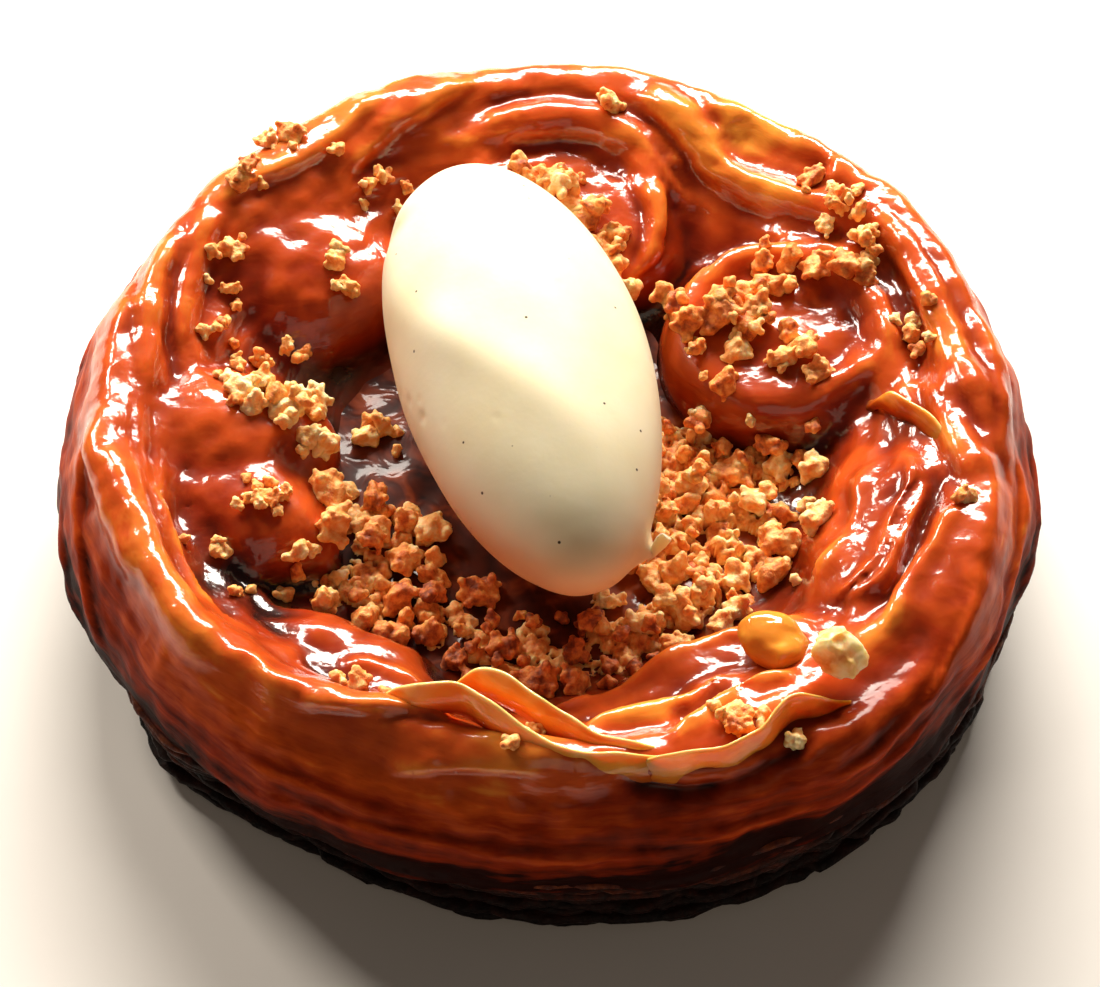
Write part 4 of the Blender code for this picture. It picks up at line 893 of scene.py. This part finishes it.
# Loose granules lie thick where the crumbs fell, as (middle, half sizes, depth) of each heap in mm: every
# granule is a bump of its own in one skin, which ends under the caramel.
HEAPS = [
    ((19.5, -8.0), (12.5, 16.5), 1.7), ((13.5, -1.0), (5.0, 9.0), 1.5), ((12.0, -22.5), (9.0, 6.5), 1.4),
    ((1.0, -28.0), (12.5, 5.5), 1.0), ((-22.0, -17.0), (10.0, 8.5), 1.1), ((-19.0, -9.0), (7.5, 4.5), 0.9),
    ((-8.5, -24.5), (8.0, 4.5), 0.8), ((23.0, 2.0), (8.5, 3.5), 1.2)]
HEAP_STEP = 0.27 * MM
HEAP_HALF = int(40 * MM / HEAP_STEP)
heap = np.full((2 * HEAP_HALF + 1, 2 * HEAP_HALF + 1), CARAMEL_LEVEL - 2 * MM)
for (middle_x, middle_y), (half_x, half_y), depth in HEAPS:
    for _ in range(int(half_x * half_y * 9)):
        angle, out = dice.uniform(0, 2 * math.pi), math.sqrt(dice.random())
        x, y = middle_x + half_x * out * math.cos(angle), middle_y + half_y * out * math.sin(angle)
        thick = noise.noise(Vector((x / 3.4, y / 3.4, depth * 7))) + 0.12 - 0.5 * out**6
        size = dice.uniform(0.32, 0.66)
        if thick < 0 or math.hypot(x, y) > 38:
            continue
        x, y, size = x * MM, y * MM, size * MM
        rest = CARAMEL_LEVEL + min(thick * 3.0, 1.0) * depth * MM * dice.uniform(0.3, 1.0)
        reach = int(size / HEAP_STEP) + 1
        i, j = int(round(x / HEAP_STEP)) + HEAP_HALF, int(round(y / HEAP_STEP)) + HEAP_HALF
        di, dj = np.meshgrid(np.arange(-reach, reach + 1), np.arange(-reach, reach + 1), indexing="ij")
        apart = np.hypot((di + i - HEAP_HALF) * HEAP_STEP - x, (dj + j - HEAP_HALF) * HEAP_STEP - y)
        patch = heap[i - reach : i + reach + 1, j - reach : j + reach + 1]
        bump = np.where(apart < size, rest + np.sqrt(np.maximum(size**2 - apart**2, 0)), 0)
        np.maximum(patch, bump, out=patch)
even_heap = heap
for _ in range(3):
    even_heap = (even_heap + np.roll(even_heap, 1, 0) + np.roll(even_heap, -1, 0)
                 + np.roll(even_heap, 1, 1) + np.roll(even_heap, -1, 1)) / 5
heap = 0.8 * heap + 0.2 * even_heap
line = (np.arange(2 * HEAP_HALF + 1) - HEAP_HALF) * HEAP_STEP
heap_points = np.stack([*np.meshgrid(line, line, indexing="ij"), heap], axis=-1).reshape(-1, 3)
corner = np.arange(len(heap_points)).reshape(heap.shape)
heap_faces = np.stack([corner[:-1, :-1], corner[1:, :-1], corner[1:, 1:], corner[:-1, 1:]], axis=-1).reshape(-1, 4)
shown = heap_points[heap_faces][..., 2].max(axis=1) > CARAMEL_LEVEL - 0.6 * MM
used, heap_faces = np.unique(heap_faces[shown], return_inverse=True)
heap_points, heap_faces = heap_points[used], heap_faces.reshape(-1, 4)
# Painted shade between the granules, and paler higher up the heap as painted light.
heap_painted_shade_and_light = (0.02 + 0.55 * (heap - even_heap) / MM + 0.06 * (heap - CARAMEL_LEVEL) / MM).reshape(-1)[used]
nearest = np.clip(np.round((np.arange(2 * FIELD_HALF + 1) - FIELD_HALF) * FIELD_STEP / HEAP_STEP).astype(int)
                  + HEAP_HALF, 0, 2 * HEAP_HALF)
field = np.maximum(field, heap[np.ix_(nearest, nearest)])

# Where larger crumbs fell in the pit: middle and half sizes of each patch, how far apart they lie, how many
# of them are big, and how much paler than the rest they are painted, as painted light on lit patches and
# painted shade on the darker ones at the front.
PATCHES = [
    ((20.0, -9.0), (12.0, 16.0), 4.0, 0.62, 0.18), ((13.5, -1.0), (4.5, 8.0), 4.0, 0.62, 0.12),
    ((13.0, -22.0), (8.0, 6.0), 4.0, 0.62, 0.12), ((1.5, -28.0), (12.0, 6.0), 4.2, 0.6, -0.18),
    ((-22.5, -17.0), (11.0, 10.0), 4.2, 0.62, 0.14), ((-20.0, -9.0), (8.0, 4.0), 4.2, 0.6, 0.12),
    ((-9.0, -24.0), (7.5, 5.5), 4.2, 0.6, -0.14), ((24.0, 2.0), (8.0, 3.5), 4.0, 0.6, 0.06),
    ((19.0, -12.0), (8.0, 10.0), 6.0, 0.6, 0.14), ((-22.0, -18.0), (8.0, 6.5), 6.5, 0.6, 0.1)]
pit_placed = []
for (middle_x, middle_y), (half_x, half_y), apart, share, pale in PATCHES:
    landed = []
    for _ in range(420):
        angle, out = dice.uniform(0, 2 * math.pi), math.sqrt(dice.random())
        x, y = middle_x + half_x * out * math.cos(angle), middle_y + half_y * out * math.sin(angle)
        whole = dice.random() < share
        room = apart * (1.0 if whole else 0.62)
        if math.hypot(x, y) > 37 or any(math.hypot(x - a, y - b) < (room + r) / 2 for a, b, r in landed):
            continue
        i, j = int(round(x * MM / FIELD_STEP)) + FIELD_HALF, int(round(y * MM / FIELD_STEP)) + FIELD_HALF
        if field[i, j] > 19.2 * MM:
            continue
        landed.append((x, y, room))
        pit_placed.append(crumb_at(x, y, dice.uniform(0.8, 1.2), whole, pale=pale))
pit_crumbs = crumbs_piece("crumble_crumbs_in_pit", pit_placed, crumb_bake,
                          (heap_points, heap_faces, heap_painted_shade_and_light))
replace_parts(pit_crumbs, "crumble_in_pit")

# Crumbs caught in the hollows of the back and right halves, and in a strip down from the left half.
CAUGHT = [
    (-4.1, 40.4), (-2.0, 38.4), (-0.1, 36.5), (3.3, 32.7), (0.5, 36.4), (2.5, 33.6), (4.3, 31.0), (5.5, 31.9),
    (6.7, 28.4), (7.9, 29.3), (7.8, 24.9), (9.1, 22.4), (1.9, 35.3), (5.9, 26.8),
    (25.5, 23.9), (28.7, 24.3), (31.6, 22.6), (35.2, 21.8), (37.5, 20.1), (23.0, 19.3), (21.1, 17.5),
    (19.7, 15.1), (23.3, 14.3), (22.0, 11.0), (15.1, 17.2), (16.2, 14.3), (17.4, 11.5), (20.5, 6.4),
    (28.1, 13.4), (29.8, 11.0), (31.3, 7.4), (27.4, 9.8), (26.4, 20.9), (24.6, 16.7),
    (-35.7, 2.8), (-33.3, 4.5), (-30.0, 3.6), (-30.5, 0.2), (-27.3, 1.9), (-25.9, -2.3), (-24.0, -4.0),
    (-27.8, -2.3), (-27.5, 5.8), (-21.8, 4.5), (-20.6, 6.2), (-34.1, 0.5), (-28.9, 1.2), (-31.8, 2.0)]
# Painted light: the crumbs on the left half are painted paler, where light falls on them.
half_placed = [crumb_at(x, y, dice.uniform(0.85, 1.2), sink=0.5, pale=0.26 if x < -20 else 0.06)
               for x, y in CAUGHT]
for x, y in CAUGHT:
    half_placed.append(crumb_at(x + dice.gauss(0, 1.9), y + dice.gauss(0, 1.9), dice.uniform(0.7, 1.2), False,
                                0.4, 0.26 if x < -20 else 0.1))
half_crumbs = crumbs_piece("crumble_crumbs_on_halves", half_placed, crumb_bake)
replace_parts(half_crumbs, "crumble_on_back_half", "crumble_on_right_half", "crumble_on_left_half")

# Crumbs that landed by ones and twos on the apple, as (x, y, size).
FALLEN = [
    (-31.8, 40.9, 1.1), (-34.5, 40.4, 0.9), (-37.5, 32.7, 1.1), (-36.3, 33.6, 0.8), (-38.2, 23.9, 1.1),
    (-37.9, 19.3, 0.7), (-25.7, 23.9, 1.1), (-24.2, 20.6, 0.9), (-22.2, 36.0, 1.0), (-20.9, 37.9, 0.8),
    (-18.1, 34.1, 0.9), (-17.6, 37.1, 0.7), (-31.3, 14.2, 0.8), (-34.1, 11.3, 1.0), (-38.8, 13.9, 0.8),
    (-36.6, 9.6, 0.8), (7.5, 48.4, 1.1), (31.9, 35.7, 1.1), (34.4, 30.0, 1.1), (33.1, 28.3, 0.9),
    (35.1, 31.8, 0.9), (37.7, 25.8, 1.0), (38.5, 23.1, 0.8), (42.3, 11.0, 1.0), (42.6, 13.0, 0.9),
    (-31.6, -12.2, 0.8), (-29.8, -11.4, 0.7), (-32.8, -13.0, 0.7), (-20.5, -38.7, 1.2), (19.4, -43.7, 1.2),
    (19.9, -45.6, 0.9), (25.8, -46.5, 0.9), (46.2, -15.5, 0.9), (-1.6, -46.0, 0.6), (-37.1, -17.7, 1.0),
    (-34.9, -23.0, 0.6)]
singles = []
for x, y, size in FALLEN:
    # Painted light: the fallen crumbs are painted paler, so that those turned away from the light still read bright.
    singles.append(crumb_at(x, y, 0.8 * size, sink=0.45, pale=0.16))
    for _ in range(2):
        beside_x, beside_y = x + dice.gauss(0, 1.9), y + dice.gauss(0, 1.6)
        if math.hypot(beside_x, beside_y) < 50.5:
            singles.append(crumb_at(beside_x, beside_y, 0.8, False, 0.4, 0.16))
crumbs_piece("crumble_crumbs_fallen", singles, crumb_bake)


# ---------------------------------------------------------------------------------------------------------
# Small bits on the front right: a piece of toasted blanched nut and a bead of candied apple.
nut_low, nut_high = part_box("nut_piece")
bead_low, bead_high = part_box("apple_bit")

# Toasted blanched almond: waxy and cream-coloured inside, with a sandy golden face where it was toasted.
nut_roast, tree = new_material("blanched_almond_toasted")
place = add(tree, "ShaderNodeTexCoord")
patches = add(tree, "ShaderNodeTexNoise", {"Vector": place.outputs["Object"], "Scale": 1 / (2.4 * MM), "Detail": 4.0})
toast = add(tree, "ShaderNodeValToRGB", {"Fac": patches.outputs["Fac"]},
            stops=[(0.3, "#DE8A34"), (0.44, "#F8C272"), (0.62, "#FFE6B0")])
pores = add(tree, "ShaderNodeBump", {"Height": patches.outputs["Fac"], "Distance": 0.3 * MM, "Strength": 0.6})
shader = add(tree, "ShaderNodeBsdfPrincipled", {
    "Base Color": toast.outputs["Color"], "Roughness": 0.45, "Subsurface Weight": 0.6,
    "Subsurface Radius": (1.0, 0.7, 0.35), "Subsurface Scale": 2.4 * MM, "Coat Weight": 0.1,
    "Coat Roughness": 0.25, "Normal": pores.outputs["Normal"]})
add(tree, "ShaderNodeOutputMaterial", {"Surface": shader.outputs["BSDF"]})
nut_centre = np.array((nut_low + nut_high) / 2) / MM
nut_points, nut_faces = ball(nut_centre + np.array((-0.2, 0.1, -0.7)), (4.0, 2.9, 2.6), -50, 12, fineness=5)

# The piece broke along flat faces, so what stands beyond each of them is gone.
for facing, reach in [((0.25, -0.35, 0.9), 1.5), ((-0.9, 0.25, 0.35), 2.3), ((0.75, 0.6, 0.3), 1.7),
                      ((-0.45, -0.85, 0.3), 1.6), ((0.5, -0.2, -0.85), 2.0), ((-0.4, 0.6, 0.7), 1.9),
                      ((0.75, -0.6, 0.2), 2.9)]:
    facing = np.array(facing) / np.linalg.norm(facing)
    beyond = (nut_points - (nut_centre + np.array((-0.2, 0.1, -0.7))) * MM) @ facing - reach * MM
    nut_points = nut_points - np.maximum(beyond, 0)[:, None] * facing * 0.78
nut_points = nut_points + uneven(nut_points, 0.35 * MM, 1.6 * MM) + uneven(nut_points, 0.16 * MM, 0.6 * MM)
nut = new_piece("toasted_nut_piece", nut_points, nut_faces, nut_roast)
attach(nut, "root")
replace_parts(nut, "nut_piece")

# The bead: a knob of apple cooked clear, half sunk in the fold of a slice, with a pale spot painted in it as its
# highlight and glow.
bead_centre = np.array((bead_low + bead_high) / 2) / MM
bead_points, bead_faces = ball(bead_centre + np.array((0.1, 0.8, -2.7)), (4.2, 3.3, 2.1), -40, 8, fineness=5)
bead_points = bead_points + uneven(bead_points, 0.5 * MM, 2.4 * MM)
bead = new_piece("candied_apple_bead", bead_points, bead_faces, slice_glaze)
# Paler round one spot, as a painted highlight and glow.
from_painted_highlight = np.linalg.norm((bead_points / MM - bead_centre - np.array((0.7, -0.9, 0.6))) / (0.9, 1.3, 1.4), axis=1)
paint(bead, "caramel_and_painted_light", 0.38 - 0.4 * np.exp(-(from_painted_highlight**2)) + 0.08 * lumps(bead_points, 2.4 * MM, 3.0))
paint(bead, "wet", np.full(len(bead_points), 1.0))
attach(bead, "root")
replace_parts(bead, "apple_bit")


# ---------------------------------------------------------------------------------------------------------
# Cream quenelle: vanilla cream turned between two spoons into a three-sided egg, with a soft edge where
# the spoon passed, a torn little lip at its front end, small air holes and specks of vanilla seed.
CREAM_LENGTH, CREAM_WIDTH, CREAM_HEIGHT = 31.9, 14.4, 12.6  # half sizes, mm
CREAM_MIDDLE = np.array((-3.25, 2.1, 28.9))
CREAM_YAW = math.radians(-75.6)
CREAM_ROWS, CREAM_COLUMNS = ((230, 240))

# Vanilla cream: warm ivory, smooth where the spoon passed, with a satin shine and light passing into it.
cream_whip, tree = new_material("vanilla_cream_spooned")
place = add(tree, "ShaderNodeTexCoord")
clots = add(tree, "ShaderNodeTexNoise", {"Vector": place.outputs["Object"], "Scale": 1 / (9 * MM), "Detail": 2.0})
ivory = add(tree, "ShaderNodeValToRGB", {"Fac": clots.outputs["Fac"]},
            stops=[(0.3, "#EBDEB8"), (0.7, "#F2E8C8")])
seeds = add(tree, "ShaderNodeTexVoronoi", {"Vector": place.outputs["Object"], "Scale": 1 / (3.0 * MM)})
seed_mask = add(tree, "ShaderNodeMapRange", {"Value": seeds.outputs["Distance"], "From Min": 0.045,
                                             "From Max": 0.07, "To Min": 0.0, "To Max": 1.0})
seeded = add(tree, "ShaderNodeMix", {"Factor": seed_mask.outputs["Result"], "A": linear("#4A3620"),
                                     "B": ivory.outputs["Color"]}, data_type="RGBA")
silk = add(tree, "ShaderNodeTexNoise", {"Vector": place.outputs["Object"], "Scale": 1 / (0.8 * MM), "Detail": 3.0})
silken = add(tree, "ShaderNodeBump", {"Height": silk.outputs["Fac"], "Distance": 0.05 * MM, "Strength": 0.35})
shader = add(tree, "ShaderNodeBsdfPrincipled", {
    "Base Color": seeded.outputs["Result"], "Roughness": 0.45, "IOR": 1.42, "Specular IOR Level": 0.3,
    "Subsurface Weight": 0.4, "Subsurface Radius": (1.0, 0.8, 0.55), "Subsurface Scale": 1.3 * MM,
    "Normal": silken.outputs["Normal"]})
add(tree, "ShaderNodeOutputMaterial", {"Surface": shader.outputs["BSDF"]})

polar_rows = np.linspace(0.012, 1 - 0.012, CREAM_ROWS) * math.pi
turns = np.linspace(0, 2 * math.pi, CREAM_COLUMNS, endpoint=False)
along = np.cos(polar_rows)[:, None] * np.ones_like(turns)
ring_size = np.sin(polar_rows)[:, None]
across, up = ring_size * np.cos(turns), ring_size * np.sin(turns)
turn_angle = np.degrees(np.arctan2(up, across))


def bearing_from(edge):
    """Degrees round the egg from an edge, from -180 to 180."""
    return (turn_angle - edge + 180) % 360 - 180


# The three spooned faces meet in soft edges: one winds from the left shoulder over to the lip.
spoon_edge = bearing_from(152 - 78 * smoothstep(-0.45, 0.85, along))
right_edge = bearing_from(18 + 16 * along)
body = (1 - along**4) * (1 - 0.8 * smoothstep(0.4, 0.85, along))
facets = 0.045 * np.exp(-((spoon_edge / 16) ** 2)) - 0.014 * np.exp(-(((spoon_edge - 44) / 26) ** 2))
facets += 0.028 * np.exp(-((right_edge / 22) ** 2)) - 0.022 * np.exp(-(((right_edge - 42) / 24) ** 2))
girth = (1 - 0.05 * along) * (1 + facets * body)
tip = smoothstep(0.86, 1.0, along)
egg = np.stack([CREAM_LENGTH * along + 0.3 * tip, CREAM_WIDTH * across * girth - 0.2 * tip,
                CREAM_HEIGHT * up * girth], axis=-1).reshape(-1, 3)

# The lip: cream drawn out to the right where the spoon let go, with a hollow torn under its crease.
crease = -1.9 - 0.1 * (egg[:, 1] - 6) ** 2
near_lip = (smoothstep(-2.0, 5.5, egg[:, 1]) * smoothstep(10.5, 8.0, egg[:, 1]) * smoothstep(24.0, 27.5, egg[:, 0])
            * smoothstep(-12.0, -6.0, egg[:, 2]))
torn = near_lip * smoothstep(0.0, 0.8, crease - egg[:, 2])
egg[:, 0] -= 1.1 * torn
egg[:, 1] -= 0.7 * torn * np.sign(egg[:, 1])
egg[:, 0] += 0.25 * near_lip * np.exp(-(((egg[:, 2] - crease - 0.4) / 0.6) ** 2))
for spot, reach, pull in [((27.9, 7.0, -2.2), 1.8, (0.5, 1.3, -0.2)), ((-21.0, -10.2, 4.4), 2.6, (0.0, 0.5, -0.5))]:
    share = np.exp(-((np.linalg.norm(egg - spot, axis=1) / reach) ** 2))
    egg = egg + share[:, None] * np.array(pull)

# Air holes, as (place along, degrees round, radius in mm).
for spot, degrees_round, size in [(0.10, 170, 0.55), (0.16, 160, 0.4), (0.22, 164, 0.7), (0.02, 178, 0.45),
                                  (0.33, 150, 0.4), (0.30, 186, 0.5), (-0.05, 70, 0.35), (0.45, 120, 0.4),
                                  (0.52, 60, 0.35), (-0.3, 30, 0.4), (0.2, 20, 0.4), (-0.4, 170, 0.5)]:
    out = math.sqrt(1 - spot**2)
    hole = np.array((CREAM_LENGTH * spot, CREAM_WIDTH * out * math.cos(math.radians(degrees_round)),
                     CREAM_HEIGHT * out * math.sin(math.radians(degrees_round))))
    share = np.exp(-((np.linalg.norm(egg - hole, axis=1) / size) ** 2))
    egg = egg - share[:, None] * hole / np.linalg.norm(hole) * 0.38 * size
egg = egg + lumps(egg, 12.0, 4.0)[:, None] * egg / np.linalg.norm(egg, axis=1, keepdims=True) * 0.22

spin = np.array(Matrix.Rotation(CREAM_YAW, 3, "Z"))
ends = np.array([egg[:CREAM_COLUMNS].mean(axis=0), egg[-CREAM_COLUMNS:].mean(axis=0)])
cream_faces = closed_grid(CREAM_ROWS, CREAM_COLUMNS).tolist()
total = CREAM_ROWS * CREAM_COLUMNS
for step in range(CREAM_COLUMNS):
    after = (step + 1) % CREAM_COLUMNS
    cream_faces.append([total, after, step])
    cream_faces.append([total + 1, total - CREAM_COLUMNS + step, total - CREAM_COLUMNS + after])

# The flap torn off at the lip: a thin blade that stands up from it, wider at its upper end and cut off on a slant
# there.
flap, cream_flap_faces = ball((0, 0, 0), (0.95, 0.3, 2.8), fineness=4)
flap = flap / MM
flap[:, 2] = np.minimum(flap[:, 2], 2.1 - 0.5 * flap[:, 0])
flap[:, 0] *= 0.75 + 0.2 * flap[:, 2]
flap[:, 1] += 0.18 * flap[:, 0] ** 2
flap = flap @ np.array(Matrix.Rotation(math.radians(24), 3, "Y")).T + np.array((11.8, -23.3, 28.2))
cream_points = np.vstack([np.vstack([egg, ends]) @ spin.T + CREAM_MIDDLE, flap]) * MM
cream_faces += [[index + total + 2 for index in face] for face in cream_flap_faces]
cream_points[:, 2] = np.minimum(cream_points[:, 2], cad_box[1][2] - 0.02 * MM)
cream = new_piece("vanilla_cream_quenelle", cream_points, cream_faces, cream_whip)
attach(cream, "root")
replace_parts(cream, "cream_quenelle")


# ---------------------------------------------------------------------------------------------------------
# Floor, light and camera: a pale matt table, one wide soft light behind and above, a smaller one at the
# left, and a weak fill from the front.
table_paint, tree = new_material("table_painted_matt_white")
place = add(tree, "ShaderNodeTexCoord")
brush = add(tree, "ShaderNodeTexNoise", {"Vector": place.outputs["Object"], "Scale": 1 / (40 * MM), "Detail": 3.0})
pale = add(tree, "ShaderNodeValToRGB", {"Fac": brush.outputs["Fac"]}, stops=[(0.3, "#EEEBE6"), (0.7, "#F3F0EB")])
shader = add(tree, "ShaderNodeBsdfPrincipled", {"Base Color": pale.outputs["Color"], "Roughness": 0.8})
add(tree, "ShaderNodeOutputMaterial", {"Surface": shader.outputs["BSDF"]})
floor = new_piece("table_top", [(-2, -2, 0), (2, -2, 0), (2, 2, 0), (-2, 2, 0)], [[0, 1, 2, 3]], table_paint)
floor.location.z = -0.05 * MM


def soft_light(name, place, aim, width, height, watts, colour):
    data = bpy.data.lights.new(name, "AREA")
    data.shape, data.size, data.size_y = "RECTANGLE", width, height
    data.energy, data.color = watts, linear(colour)[:3]
    light = bpy.data.objects.new(name, data)
    bpy.context.scene.collection.objects.link(light)
    light.location = place
    light.rotation_euler = (Vector(aim) - Vector(place)).to_track_quat("-Z", "Y").to_euler()


soft_light("softbox_back", (0.05, 0.55, 0.41), (0, 0, 0.02), 0.54, 0.19, 13, "#FFF6EA")
soft_light("softbox_left", (-0.38, 0.40, 0.40), (0, 0, 0.02), 0.16, 0.16, 3.2, "#FFF3E4")
soft_light("fill_front", (0.15, -0.7, 0.6), (0, 0, 0.02), 0.6, 0.5, 0.8, "#FFE4C8")
world = bpy.data.worlds.new("studio")
bpy.context.scene.world = world
world.use_nodes = True
world.node_tree.nodes["Background"].inputs["Color"].default_value = linear("#E8E2DC")
world.node_tree.nodes["Background"].inputs["Strength"].default_value = 0.05

CAMERA_RISE, CAMERA_DISTANCE = math.radians(50), 0.370
AIM = Vector((0, 0, 9.6 * MM))
lens = bpy.data.cameras.new("camera")
lens.sensor_width = 36.0
lens.lens = 36.0 / (2 * math.tan(math.radians(10)))
camera = bpy.data.objects.new("camera", lens)
bpy.context.scene.collection.objects.link(camera)
camera.location = AIM + Vector((0, -math.cos(CAMERA_RISE), math.sin(CAMERA_RISE))) * CAMERA_DISTANCE
camera.rotation_euler = (AIM - camera.location).to_track_quat("-Z", "Y").to_euler()
bpy.context.scene.camera = camera
bpy.context.scene.view_settings.view_transform = "Standard"
